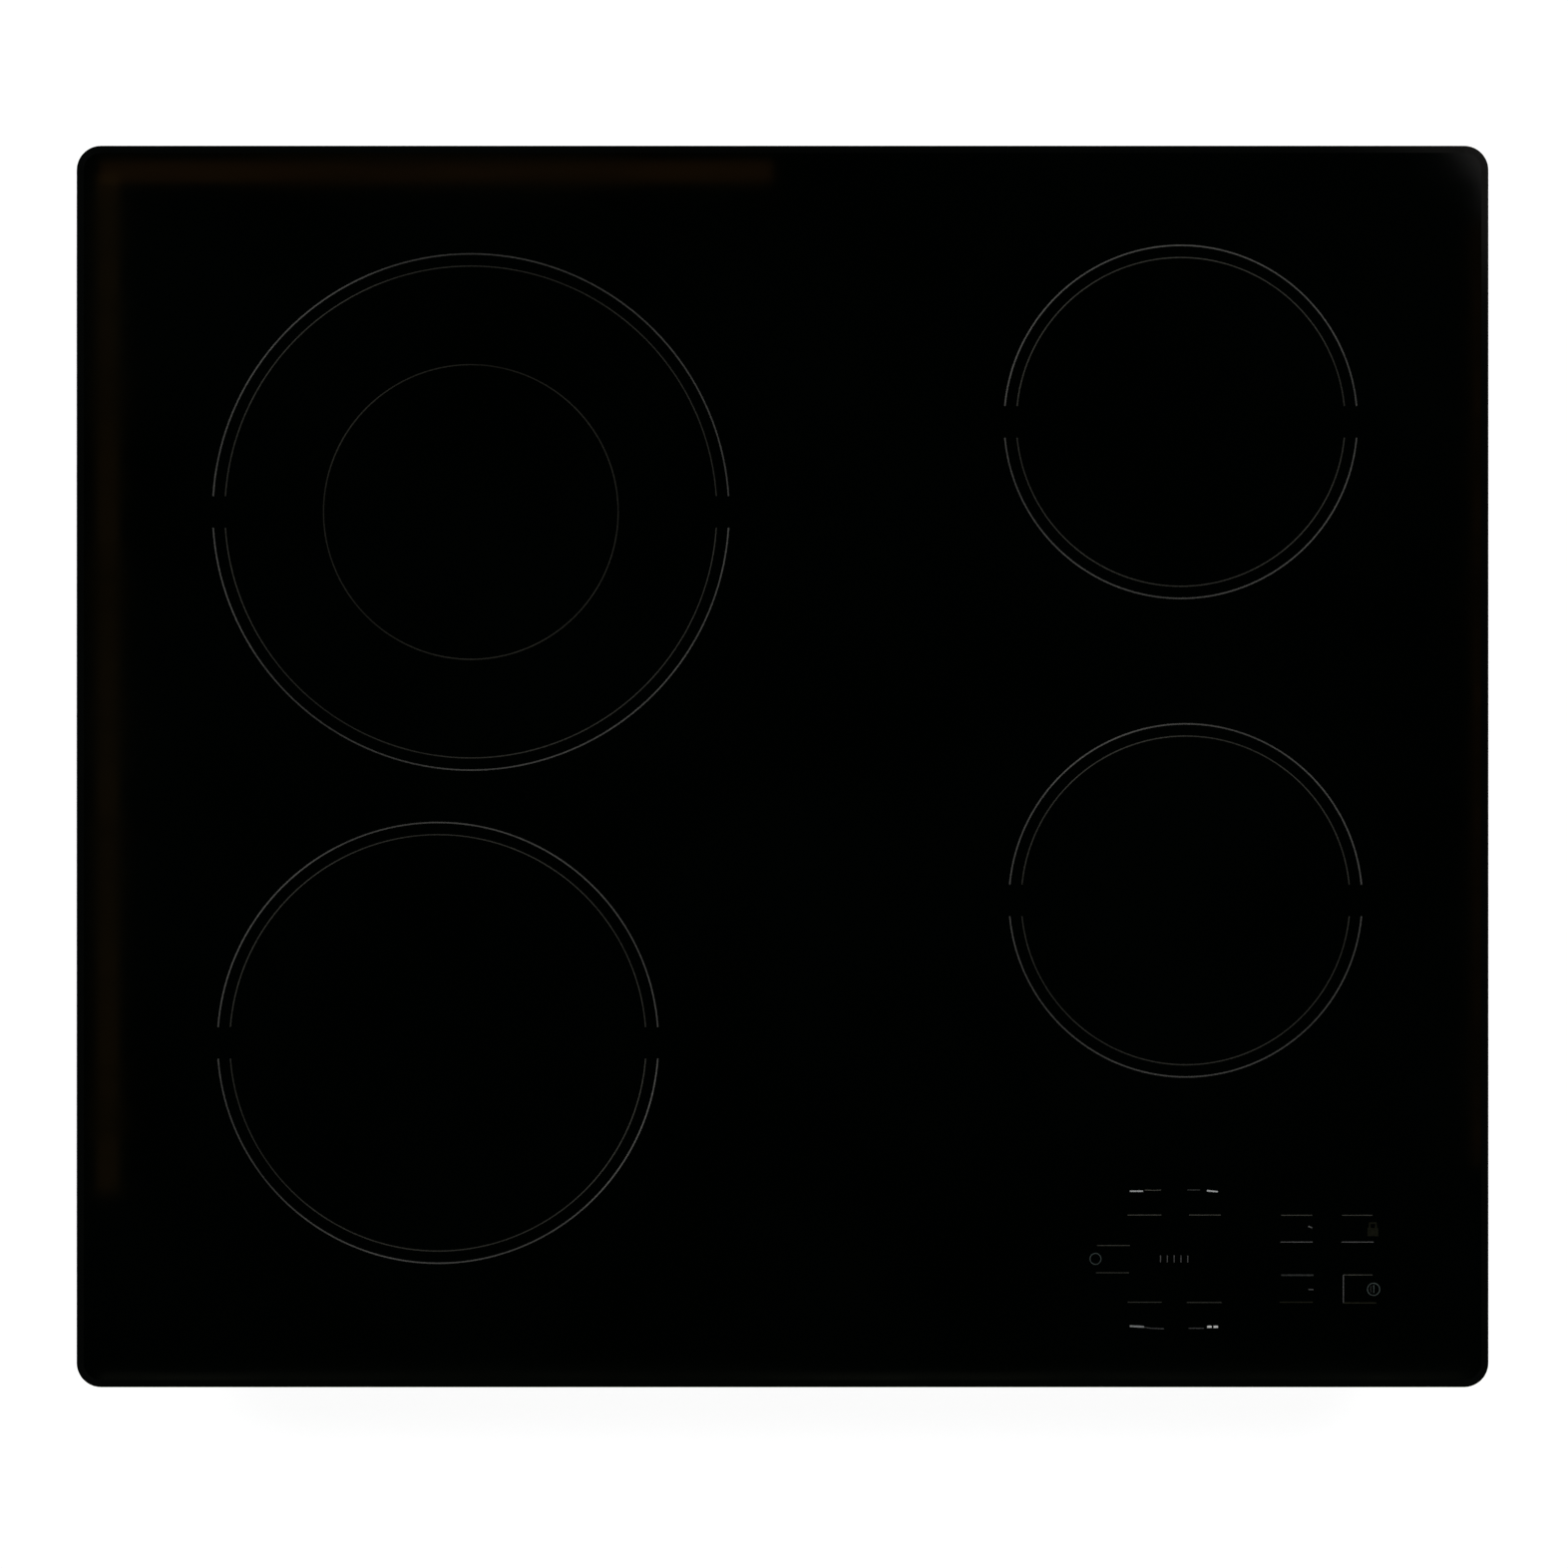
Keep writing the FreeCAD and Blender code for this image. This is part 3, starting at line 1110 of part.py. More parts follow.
def blower_rotor():
    """Impeller: revolved cup, back plate and shaft, and a ring of blades that hangs from the plate."""
    piece = body("blower_rotor", BLOWER_X, BLOWER_Y)
    plate_under = f"({WHEEL_TOP} - {S}wheel_disc)"
    cup_floor = f"({CUP_FOOT} + {S}cup_wall)"
    cup_inside = f"({S}cup_radius - {S}cup_wall)"
    shaft_top = f"({ROOF_UNDER} - {S}motor_flange_thick - {S}shaft_end_gap)"
    profile = polygon(piece, "wheel_profile", [
        ("0", CUP_FOOT), (f"{S}cup_radius", CUP_FOOT), (f"{S}cup_radius", plate_under),
        (f"{S}wheel_radius", plate_under), (f"{S}wheel_radius", WHEEL_TOP), (cup_inside, WHEEL_TOP),
        (cup_inside, cup_floor), (f"{S}shaft_radius", cup_floor), (f"{S}shaft_radius", shaft_top),
        ("0", shaft_top),
    ], "XZ_Plane")
    turned = piece.newObject("PartDesign::Revolution", "cup_and_plate")
    turned.Profile = profile
    turned.ReferenceAxis = (profile, ["V_Axis"])
    turned.Angle = 360
    doc.recompute()
    blade_plan = polygon(piece, "blade", blade_corners(), offset=WHEEL_FOOT)
    blade = pad(piece, blade_plan, f"{S}wheel_high - {S}wheel_disc")
    doc.recompute()
    around(piece, "blades", [blade], blade_plan, count("blade_count"))
    doc.recompute()
    return part("blower_rotor", piece)


# ---------------------------------------------------------------------------------------- touch control
CONTROL_TOP = f"({GLASS_UNDER} - {S}pad_high)"
CONTROL_UNDER = f"({CONTROL_TOP} - {S}board_thick)"


def control_span(margin):
    """Plan of the control board, grown by a margin."""
    return (centred(right_x("control_x"), f"({S}control_width + 2 * {margin})"),
            centred(front_y("control_y"), f"({S}control_depth + 2 * {margin})"))


def control_board():
    x, y = control_span("0")
    return part("control_board", block("control_board", x, y, (CONTROL_UNDER, CONTROL_TOP)))


def control_bracket():
    """Moulded tray on four legs that stand on the pan's floor; the board lies on its rim."""
    x, y = control_span(f"{S}bracket_margin")
    wall = f"{S}bracket_wall"
    plate = f"({CONTROL_UNDER} - {S}bracket_rim)"
    tray = block("bracket_block", x, y, (f"{plate} - {wall}", CONTROL_UNDER))
    well = block("bracket_well", (f"{x[0]} + {wall}", f"{x[1]} - {wall}"),
                 (f"{y[0]} + {wall}", f"{y[1]} - {wall}"), (plate, CONTROL_UNDER))
    legs = [
        block(f"bracket_leg_{i}{j}", leg_x, leg_y, (FLOOR, f"{plate} - {wall}"))
        for i, leg_x in enumerate(((x[0], f"{x[0]} + {S}bracket_leg"), (f"{x[1]} - {S}bracket_leg", x[1])))
        for j, leg_y in enumerate(((y[0], f"{y[0]} + {S}bracket_leg"), (f"{y[1]} - {S}bracket_leg", y[1])))
    ]
    return part("control_bracket", fuse("control_bracket", cut("bracket_tray", tray, well), *legs))


def touch_pads():
    """Sprung contacts between the board and the glass, one under each key."""
    places = [("dual_key_x", "dual_key_y")]
    for keys in ("zone_key", "side_key"):
        for column in ("near", "far"):
            for row in ("rear", "front"):
                places.append((f"{keys}_{column}_x", f"{keys}_{row}_y"))
    made = [
        centred_block(f"touch_pad{i}", right_x(x), front_y(y), f"{S}pad_width", f"{S}pad_depth",
                      (CONTROL_TOP, GLASS_UNDER))
        for i, (x, y) in enumerate(places, start=1)
    ]
    return part("touch_pads", group("touch_pads", made))


def displays():
    """A seven-segment display for each zone, and a wider one for the timer between them."""
    z = (CONTROL_TOP, f"{CONTROL_TOP} + {S}display_high")
    width, depth = f"{S}display_width", f"{S}display_depth"
    made = [centred_block("timer_display", right_x("timer_x"), front_y("dual_key_y"), f"{S}timer_width",
                          depth, z)]
    for x in ("display_near_x", "display_far_x"):
        for y in ("display_rear_y", "display_front_y"):
            made.append(centred_block(f"{x}_{y}", right_x(x), front_y(y), width, depth, z))
    return part("displays", group("displays", made))


# ------------------------------------------------------------------------------------ mains terminal box
FLANGE_FACE = f"({PAN_HALF_Y} + {S}flange_thick)"
MOUTH_FAR = f"({TERMINAL_FAR} - {S}inlet_width)"
MOUTH_NEAR = f"({TERMINAL_NEAR} + {S}terminal_wall)"
MOUTH_FOOT = f"({TERMINAL_FOOT} + {S}terminal_wall)"
MOUTH_TOP = f"({TERMINAL_TOP} - {S}terminal_wall)"
HINGE_Y = f"({FLANGE_FACE} + {S}lid_gap + {S}lid_barrel_radius)"
HINGE_Z = f"({MOUTH_TOP} + {S}lid_lap + {S}lid_barrel_radius)"
LID_NEAR = f"({MOUTH_NEAR} - {S}lid_lap)"
LID_FAR = f"({MOUTH_FAR} + {S}lid_lap)"
CABLE_X = f"({TERMINAL_FAR} - {S}inlet_width / 2)"
CABLE_Z = f"({TERMINAL_FOOT} + {S}terminal_high / 2)"


def hinge_ear(name, x):
    """An ear on the flange with a square snap-in hole for one of the lid's pins."""
    half = f"{S}lid_barrel_radius"
    ear = block(name, x, (FLANGE_FACE, f"{HINGE_Y} + {half}"), centred(HINGE_Z, f"(2 * {half})"))
    room = f"({S}lid_pin_radius + {S}hole_gap)"
    hole = block(f"{name}_hole", x, (f"{HINGE_Y} - {room}", f"{HINGE_Y} + {room}"),
                 (f"{HINGE_Z} - {room}", f"{HINGE_Z} + {room}"))
    return cut(f"{name}_bored", ear, hole)


def terminal_box():
    """Moulded box through the pan's rear wall: flange, mouth for the wiring, and a round cable inlet."""
    wall = f"{S}terminal_wall"
    inner_end = f"({PAN_HALF_Y} - {S}terminal_depth)"
    lap = f"{S}flange_lap"
    case = block("terminal_case", (TERMINAL_NEAR, TERMINAL_FAR), (inner_end, FLANGE_FACE),
                 (TERMINAL_FOOT, TERMINAL_TOP))
    flange = block("terminal_flange", (f"{TERMINAL_NEAR} - {lap}", f"{TERMINAL_FAR} + {lap}"),
                   (PAN_HALF_Y, FLANGE_FACE), (f"{TERMINAL_FOOT} - {lap}", f"{TERMINAL_TOP} + {lap}"))
    boss = level_rod("cable_boss", f"{S}cable_radius + {S}cable_boss_wall", f"{S}cable_boss_long", "+Y",
                     CABLE_X, FLANGE_FACE, CABLE_Z)
    near_ear = (f"{LID_NEAR} - {S}lid_ear_gap - {S}lid_ear_long", f"{LID_NEAR} - {S}lid_ear_gap")
    far_ear = (f"{LID_FAR} + {S}lid_ear_gap", f"{LID_FAR} + {S}lid_ear_gap + {S}lid_ear_long")
    ears = [hinge_ear("near_ear", near_ear), hinge_ear("far_ear", far_ear)]
    solid = fuse("terminal_solid", case, flange, boss, *ears)
    room = block("terminal_room", (MOUTH_NEAR, f"{TERMINAL_FAR} - {wall}"),
                 (f"{inner_end} + {wall}", f"{FLANGE_FACE} - {wall}"), (MOUTH_FOOT, MOUTH_TOP))
    mouth = block("terminal_mouth", (MOUTH_NEAR, MOUTH_FAR),
                  (f"{FLANGE_FACE} - 2 * {wall}", f"{FLANGE_FACE} + {wall}"), (MOUTH_FOOT, MOUTH_TOP))
    bore = level_rod("cable_bore", f"{S}cable_radius", f"{S}cable_boss_long + 2 * {wall}", "+Y",
                     CABLE_X, f"{FLANGE_FACE} - {wall} - {wall} / 2", CABLE_Z)
    return part("terminal_box", cut("terminal_box", solid, room, mouth, bore))


def terminal_lid():
    """Flat lid that hangs from a rolled edge; two pins turn in the flange's ears."""
    plate = block("lid_plate", (LID_NEAR, LID_FAR),
                  (f"{FLANGE_FACE} + {S}lid_gap", f"{FLANGE_FACE} + {S}lid_gap + {S}lid_thick"),
                  (f"{MOUTH_FOOT} - {S}lid_lap", HINGE_Z))
    barrel = level_rod("lid_barrel", f"{S}lid_barrel_radius", f"{LID_FAR} - {LID_NEAR}", "+X",
                       LID_NEAR, HINGE_Y, HINGE_Z)
    pins = level_rod("lid_pins", f"{S}lid_pin_radius", f"{LID_FAR} - {LID_NEAR} + 2 * {S}lid_pin_long",
                     "+X", f"{LID_NEAR} - {S}lid_pin_long", HINGE_Y, HINGE_Z)
    return part("terminal_lid", fuse("terminal_lid", plate, barrel, pins))


BLOCK_Y = f"({PAN_HALF_Y} - {S}terminal_depth / 2)"
BLOCK_X = f"(({MOUTH_NEAR} + {MOUTH_FAR}) / 2)"


def terminal_places():
    """x of each terminal along the block."""
    pitch = f"{S}block_width / {count('terminal_count')}"
    return [f"{BLOCK_X} + {step}" for step in row_of(count("terminal_count"), pitch)]


def terminal_block():
    """Moulded block on the box's floor, with a wire hole to the rear under each terminal screw."""
    rear = f"{BLOCK_Y} + {S}block_depth / 2"
    middle = f"({MOUTH_FOOT} + {S}block_high / 2)"
    half = f"{S}wire_hole / 2"
    blank = centred_block("block_blank", BLOCK_X, BLOCK_Y, f"{S}block_width", f"{S}block_depth",
                          (MOUTH_FOOT, f"{MOUTH_FOOT} + {S}block_high"))
    holes = [
        block(f"wire_hole{i}", (f"{x} - {half}", f"{x} + {half}"), (BLOCK_Y, rear),
              (f"{middle} - {half}", f"{middle} + {half}"))
        for i, x in enumerate(terminal_places(), start=1)
    ]
    return part("terminal_block", cut("terminal_block", blank, *holes))


def terminal_screws():
    top = f"({MOUTH_FOOT} + {S}block_high)"
    z = (top, f"{top} + {S}terminal_screw_high")
    heads = [
        prism(f"terminal_screw{i}", count("screw_sides"), f"{S}terminal_screw_radius", z, x, BLOCK_Y)
        for i, x in enumerate(terminal_places(), start=1)
    ]
    return part("terminal_screws", group("terminal_screws", heads))


# -------------------------------------------------------------------------------------- build and export
def build():
    glass_top()
    zone_rings()
    perimeter_seal()
    bottom_pan()
    for side in INWARD:
        glass_rail(side)
    for side in ("left", "right"):
        clip(f"front_{side}_clip", side, f"-{S}clip_y")
        clip(f"rear_{side}_clip", side, f"{S}clip_y")
    rail_screws()
    clip_screws()
    coil_tray()
    for side in ("left", "right"):
        mica_sheet(side)
    for zone in ZONES:
        coil_former(zone)
        ferrites(zone)
        sensor(zone)
        sensor_spring(zone)
    windings()
    for side in ("left", "right"):
        board_carrier(side)
        heat_sink(side)
        power_board(side)
    power_transistors()
    filter_capacitors()
    filter_chokes()
    blower_housing()
    blower_motor()
    blower_rotor()
    control_board()
    control_bracket()
    touch_pads()
    displays()
    terminal_box()
    terminal_lid()
    terminal_block()
    terminal_screws()


def check():
    """Stops before anything is written if a feature failed or a sub-part is empty or invalid."""
    doc.recompute()
    for thing in doc.Objects:
        if "Invalid" in thing.State or "Error" in thing.State:
            raise RuntimeError(f"{thing.Name} did not compute: {thing.State}")
    for label, thing in parts.items():
        if thing.Label != label:
            raise RuntimeError(f"the label {label} is taken")
        shape = thing.Shape
        if shape.isNull() or not shape.isValid() or not shape.Solids:
            raise RuntimeError(f"{label} has no valid solid")


def export():
    os.makedirs("parts", exist_ok=True)
    for label, thing in parts.items():
        thing.Shape.exportStep(f"parts/{label}.step")


build()
check()
export()
print(f"{len(parts)} sub-parts written")
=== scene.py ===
"""Looks of a built-in induction cooktop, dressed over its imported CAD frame.

Metres, in the CAD's frame: +X to the user's right, +Y to the back, +Z up, z = 0 in the worktop plane.
Sizes are written in millimetres and turned into metres by MM. Places come from the frame's own boxes.
"""
import json
import math
import random

import bmesh
import bpy
from mathutils import Matrix, Vector

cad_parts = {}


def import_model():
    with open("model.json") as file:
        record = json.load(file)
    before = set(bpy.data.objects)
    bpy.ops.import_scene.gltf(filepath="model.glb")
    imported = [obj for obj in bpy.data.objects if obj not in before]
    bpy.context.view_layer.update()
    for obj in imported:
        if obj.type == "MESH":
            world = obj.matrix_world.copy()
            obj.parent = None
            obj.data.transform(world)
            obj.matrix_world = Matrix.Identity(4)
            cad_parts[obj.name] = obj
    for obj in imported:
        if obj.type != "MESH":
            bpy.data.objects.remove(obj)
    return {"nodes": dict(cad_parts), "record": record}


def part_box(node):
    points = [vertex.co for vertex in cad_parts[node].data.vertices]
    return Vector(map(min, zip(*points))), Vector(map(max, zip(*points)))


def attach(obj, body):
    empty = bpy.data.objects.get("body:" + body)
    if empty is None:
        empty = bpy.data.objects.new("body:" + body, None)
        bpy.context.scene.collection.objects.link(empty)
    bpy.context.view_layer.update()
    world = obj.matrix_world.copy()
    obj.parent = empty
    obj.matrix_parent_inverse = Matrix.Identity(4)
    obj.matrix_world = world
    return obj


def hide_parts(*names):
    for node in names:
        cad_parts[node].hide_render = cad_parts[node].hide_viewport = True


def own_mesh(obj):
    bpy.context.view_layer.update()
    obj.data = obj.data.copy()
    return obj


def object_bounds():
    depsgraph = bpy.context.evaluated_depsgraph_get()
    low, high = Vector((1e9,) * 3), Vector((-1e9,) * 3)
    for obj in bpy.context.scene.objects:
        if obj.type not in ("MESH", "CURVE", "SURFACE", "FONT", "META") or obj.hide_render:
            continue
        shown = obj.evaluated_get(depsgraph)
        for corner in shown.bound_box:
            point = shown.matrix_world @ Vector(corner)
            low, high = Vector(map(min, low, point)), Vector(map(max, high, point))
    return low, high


MM = 0.001
TAU = 2 * math.pi
ZONES = ("rear_left", "front_left", "rear_right", "front_right")

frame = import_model()
cad_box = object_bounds()
glass_low, glass_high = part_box("glass_top")
GLASS_TOP = glass_high.z


# ---------- places and objects
def around(centre, radius, turns, *height):
    """The point at a radius and an angle from a centre in plan; the angle is in turns."""
    return (centre[0] + radius * math.cos(TAU * turns), centre[1] + radius * math.sin(TAU * turns), *height)


def arc(centre, radius, start, end, segments):
    """Points along an arc; angles in turns."""
    return [around(centre, radius, start + (end - start) * i / segments) for i in range(segments + 1)]


def circle(centre, radius, segments):
    return arc(centre, radius, 0.0, 1.0 - 1.0 / segments, segments - 1)


def placed(name, data):
    """A new object in the scene."""
    made = bpy.data.objects.new(name, data)
    bpy.context.scene.collection.objects.link(made)
    return made


def middle(node):
    low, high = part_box(node)
    return (low + high) / 2


def islands(node):
    """The low and high corner of each separate solid of a CAD node."""
    mesh = frame["nodes"][node].data
    group = list(range(len(mesh.vertices)))

    def root(i):
        while group[i] != i:
            group[i] = group[group[i]]
            i = group[i]
        return i

    same = {}
    for v in mesh.vertices:
        key = tuple(round(c, 6) for c in v.co)
        group[root(v.index)] = root(same.setdefault(key, v.index))
    for edge in mesh.edges:
        group[root(edge.vertices[0])] = root(edge.vertices[1])
    found = {}
    for v in mesh.vertices:
        low, high = found.setdefault(root(v.index), (v.co.copy(), v.co.copy()))
        for axis in range(3):
            low[axis] = min(low[axis], v.co[axis])
            high[axis] = max(high[axis], v.co[axis])
    return sorted(found.values(), key=lambda pair: tuple(pair[0]))


# ---------- shader helpers
class Tree:
    """A node tree, built one node at a time."""

    def __init__(self, tree):
        self.tree = tree

    def feed(self, socket, source):
        """Gives a socket a plain value, another socket's value, or a node's first output."""
        if isinstance(source, bpy.types.Node):
            source = source.outputs[0]
        if isinstance(source, bpy.types.NodeSocket):
            self.tree.links.new(source, socket)
        else:
            socket.default_value = source

    def add(self, kind, *sources, sockets=None, **settings):
        """A node; the sources go to its first sockets in order, the others to sockets by their names."""
        made = self.tree.nodes.new("ShaderNode" + kind)
        for key, value in settings.items():
            setattr(made, key, value)
        for socket, source in zip(made.inputs, sources):
            self.feed(socket, source)
        for key, source in (sockets or {}).items():
            self.feed(made.inputs[key], source)
        return made

    def math(self, operation, *values):
        return self.add("Math", *values, operation=operation)

    def spread(self, source, low, high, start=0.0, end=1.0, **settings):
        """Maps start..end of a value to low..high."""
        return self.add("MapRange", source, start, end, low, high, **settings)

    def ramp(self, source, *stops):
        """A colour by a value, from (value, colour) stops."""
        made = self.add("ValToRGB", source)
        elements = made.color_ramp.elements
        for place, _ in stops[1:-1]:
            elements.new(place)
        for element, (place, colour) in zip(elements, stops):
            element.position = place
            element.color = (*colour, 1.0)
        return made


class Shader(Tree):
    """A material, kept in M by its name, with the nodes behind its surface."""

    def __init__(self, name, **values):
        M[name] = bpy.data.materials.new(name)
        M[name].use_nodes = True
        super().__init__(M[name].node_tree)
        self.inputs = self.tree.nodes["Principled BSDF"].inputs
        for key, value in values.items():
            self.inputs[key.replace("_", " ")].default_value = value
        self.place = self.add("TexCoord").outputs["Object"]

    def stretched(self, scale, place=None):
        """Stretched coordinates, for grain that runs one way."""
        return self.add("Mapping", place or self.place, sockets={"Scale": scale})

    def noise(self, scale, detail, place=None):
        return self.add("TexNoise", sockets={
            "Vector": place or self.place, "Scale": scale, "Detail": detail, "Roughness": 0.55})

    def cells(self, scale, output="Color"):
        return self.add("TexVoronoi", sockets={"Vector": self.place, "Scale": scale}).outputs[output]

    def blend(self, source, low, high, start=0.0, end=1.0):
        """A colour between two, as a value goes from start to end."""
        return self.ramp(source, (start, low), (end, high))

    def colour(self, source):
        self.feed(self.inputs["Base Color"], source)

    def roughness(self, source):
        self.feed(self.inputs["Roughness"], source)

    def bump(self, source, height, strength):
        """Surface relief whose full height is given in millimetres."""
        sockets = {"Strength": strength, "Distance": height * MM, "Height": source}
        self.feed(self.inputs["Normal"], self.add("Bump", sockets=sockets))


def grey(value):
    return (value, value, value)


# ---------- materials
M = {}
RING_PATCH = (0.492, -0.204, 0.3)


def glass_ceramic():
    """Black glass-ceramic: polished, with wiped smears on top and a finely ground facet and edge."""
    s = Shader("glass_ceramic", Specular_IOR_Level=0.5, IOR=1.53)
    s.colour(s.blend(s.noise(9, 3), (0.0001, 0.0004, 0.0002), (0.0003, 0.0007, 0.0005), 0.35, 0.65))
    normal = s.add("SeparateXYZ", s.add("NewGeometry").outputs["Normal"])
    ground = s.spread(normal.outputs["Z"], 0.05, 0.0, 0.970, 0.999)
    smear = s.spread(s.noise(1.0, 5, s.stretched((7, 22, 7))), 0.022, 0.05, 0.4, 0.75)
    s.roughness(s.math("ADD", ground, smear))


def enamel(name, colour, level, shift=(0, 0, 0)):
    """Fired print: fine uneven dots of ceramic colour, laid a little thicker in some stretches than others.

    The shift, in metres, says which patch of the unevenness falls on the print.
    """
    s = Shader(f"enamel_{name}", Roughness=0.16, IOR=1.52)
    thick = s.spread(s.noise(7, 3, s.add("Mapping", s.place, shift)), 0.225, 0.775, 0.35, 0.65)
    speckle = s.spread(s.noise(900, 2), 0.85, 1.15, 0.35, 0.65)
    s.colour(s.blend(s.math("MULTIPLY", thick, speckle), grey(0.0), [c * level * 2 for c in colour]))
    s.bump(s.noise(5200, 2), 0.02, 0.5)


def foam():
    s = Shader("foam_seal", Roughness=0.95, Specular_IOR_Level=0.2)
    pore_depth_and_shade = s.cells(1500, "Distance")
    # Painted shade: the colour darkens towards the middle of each pore, where the bump sinks.
    s.colour(s.blend(pore_depth_and_shade, grey(0.018), grey(0.045), 0.1, 0.6))
    s.bump(pore_depth_and_shade, 0.35, 0.9)


def galvanised():
    """Hot-dip galvanised sheet: crystals of a few millimetres, each with its own tone and feathery grain."""
    s = Shader("galvanised_steel", Metallic=1.0)
    crystals = s.cells(150)
    lie = s.add("VectorMath", crystals, (TAU, TAU, TAU), operation="MULTIPLY")
    turned = s.add("VectorRotate", s.place, sockets={"Rotation": lie}, rotation_type="EULER_XYZ")
    feather = s.noise(1.0, 4, s.stretched((180, 1500, 900), turned))
    tone = s.add("SeparateColor", crystals)
    both = s.math("ADD", s.spread(tone, 0.0, 0.62), s.spread(feather, 0.0, 0.38, 0.3, 0.7))
    s.colour(s.blend(both, (0.345, 0.36, 0.375), (0.455, 0.465, 0.47)))
    s.roughness(s.spread(both, 0.36, 0.48))
    s.bump(feather, 0.03, 0.4)


def sheet_metal(name, dark, light, rough, along=(8, 260, 260)):
    """Rolled sheet or strip, with fine drawn lines along the axis that is stretched least."""
    s = Shader(name, Metallic=1.0)
    lines = s.noise(3.0, 5, s.stretched(along))
    s.colour(s.blend(lines, dark, light, 0.3, 0.7))
    s.roughness(s.spread(lines, rough - 0.06, rough + 0.08, 0.3, 0.7))
    s.bump(lines, 0.02, 0.5)


def plated(name, dark, light, rough):
    """Small plated parts: an even metal with faint clouding."""
    s = Shader(name, Metallic=1.0)
    cloud = s.noise(220, 4)
    s.colour(s.blend(cloud, dark, light, 0.3, 0.7))
    s.roughness(s.spread(cloud, rough, rough + 0.14, 0.3, 0.7))
    s.bump(s.noise(1800, 3), 0.01, 0.5)


def moulding(name, dark, light, rough, grain=900, relief=0.03):
    """Injection-moulded plastic with an eroded grain and slight flow marks."""
    s = Shader(name, IOR=1.47)
    s.colour(s.blend(s.noise(14, 3), dark, light, 0.35, 0.65))
    s.roughness(s.spread(s.noise(60, 4), rough - 0.05, rough + 0.07, 0.3, 0.7))
    s.bump(s.noise(grain, 3), relief, 0.8)


def flaky(name, dark, light, rough, scale):
    """Pressed flakes or sintered grains."""
    s = Shader(name, Roughness=rough)
    s.colour(s.blend(s.add("SeparateColor", s.cells(scale)), dark, light))
    s.bump(s.cells(scale, "Distance"), 0.04, 0.5)


def litz():
    """Twisted enamelled strands: slanted lines along the wire, from its own length-and-turn coordinates; the
    grooves between strands are darkened with painted shade.
    """
    s = Shader("copper_litz", Metallic=0.85, Roughness=0.38)
    wave = s.add("TexWave", s.add("UVMap", uv_map="wire"), 3.2, wave_type="BANDS", wave_profile="SIN",
                 bands_direction="DIAGONAL")
    twist_and_painted_groove_shade = wave.outputs["Fac"]
    # Painted shade: the same wave that sinks the grooves in the bump darkens the copper there.
    s.colour(s.blend(twist_and_painted_groove_shade, (0.16, 0.055, 0.018), (0.62, 0.27, 0.10), 0.1, 0.8))
    s.bump(twist_and_painted_groove_shade, 0.25, 0.8)


def circuit():
    """Green solder mask over a maze of right-angled tracks."""
    s = Shader("circuit_board", IOR=1.5)

    def maze(width, row, line, squash):
        black, white = (0, 0, 0, 1), (1, 1, 1, 1)
        return s.add("TexBrick", s.place, black, black, white, 1.0, line * MM, offset=0.37, squash=squash,
                     squash_frequency=3, sockets={"Brick Width": width * MM, "Row Height": row * MM})

    tracks = s.math("MAXIMUM", maze(17, 4.6, 0.55, 0.6), maze(6.4, 13, 0.35, 1.7))
    s.colour(s.blend(tracks, (0.010, 0.062, 0.024), (0.020, 0.125, 0.048), 0.3, 0.7))
    s.roughness(s.spread(s.noise(70, 3), 0.24, 0.38, 0.3, 0.7))
    s.bump(tracks, 0.04, 0.5)


def each(kind, *rows):
    """A material of one kind for each row, which is what that kind takes."""
    for row in rows:
        kind(*row)


glass_ceramic()
foam()
galvanised()
litz()
circuit()
each(enamel,
    ("print", (1.0, 1.0, 0.94), 0.05, RING_PATCH),
    ("inner", (1.0, 1.0, 0.85), 0.024, RING_PATCH),
    ("core", (1.0, 1.0, 0.82), 0.018, RING_PATCH),
    ("key", (1.0, 1.0, 0.84), 0.036),
    ("bright", (1.0, 1.0, 1.0), 0.065),
    ("legend", (0.96, 1.0, 1.0), 0.235),
    ("white", (1.0, 1.0, 0.98), 0.62),
    ("dim", (0.94, 1.0, 0.96), 0.023),
    ("circle", (0.78, 1.0, 0.95), 0.055),
    ("lock", (0.95, 1.0, 0.62), 0.0055),
    ("faint", (1.0, 1.0, 0.65), 0.012),
)
each(sheet_metal,
    ("spring_steel", (0.36, 0.365, 0.38), (0.44, 0.44, 0.45), 0.27, (200, 200, 6)),
    ("aluminium_sheet", (0.7, 0.71, 0.72), (0.78, 0.78, 0.78), 0.45),
    ("extruded_aluminium", (0.68, 0.69, 0.7), (0.76, 0.76, 0.77), 0.36, (260, 8, 260)),
    ("motor_steel", (0.3, 0.3, 0.32), (0.44, 0.44, 0.46), 0.34, (60, 60, 2600)),
)
each(plated,
    ("zinc_plated_steel", (0.5, 0.52, 0.54), (0.66, 0.67, 0.64), 0.24),
    ("solder", (0.55, 0.56, 0.57), (0.68, 0.69, 0.7), 0.28),
    ("brass", (0.62, 0.42, 0.16), (0.74, 0.53, 0.22), 0.24),
)
each(flaky,
    ("mica", (0.4, 0.36, 0.27), (0.62, 0.58, 0.47), 0.42, 380),
    ("ferrite", grey(0.03), grey(0.055), 0.48, 2600),
    ("choke_core", grey(0.045), grey(0.075), 0.55, 2200),
)
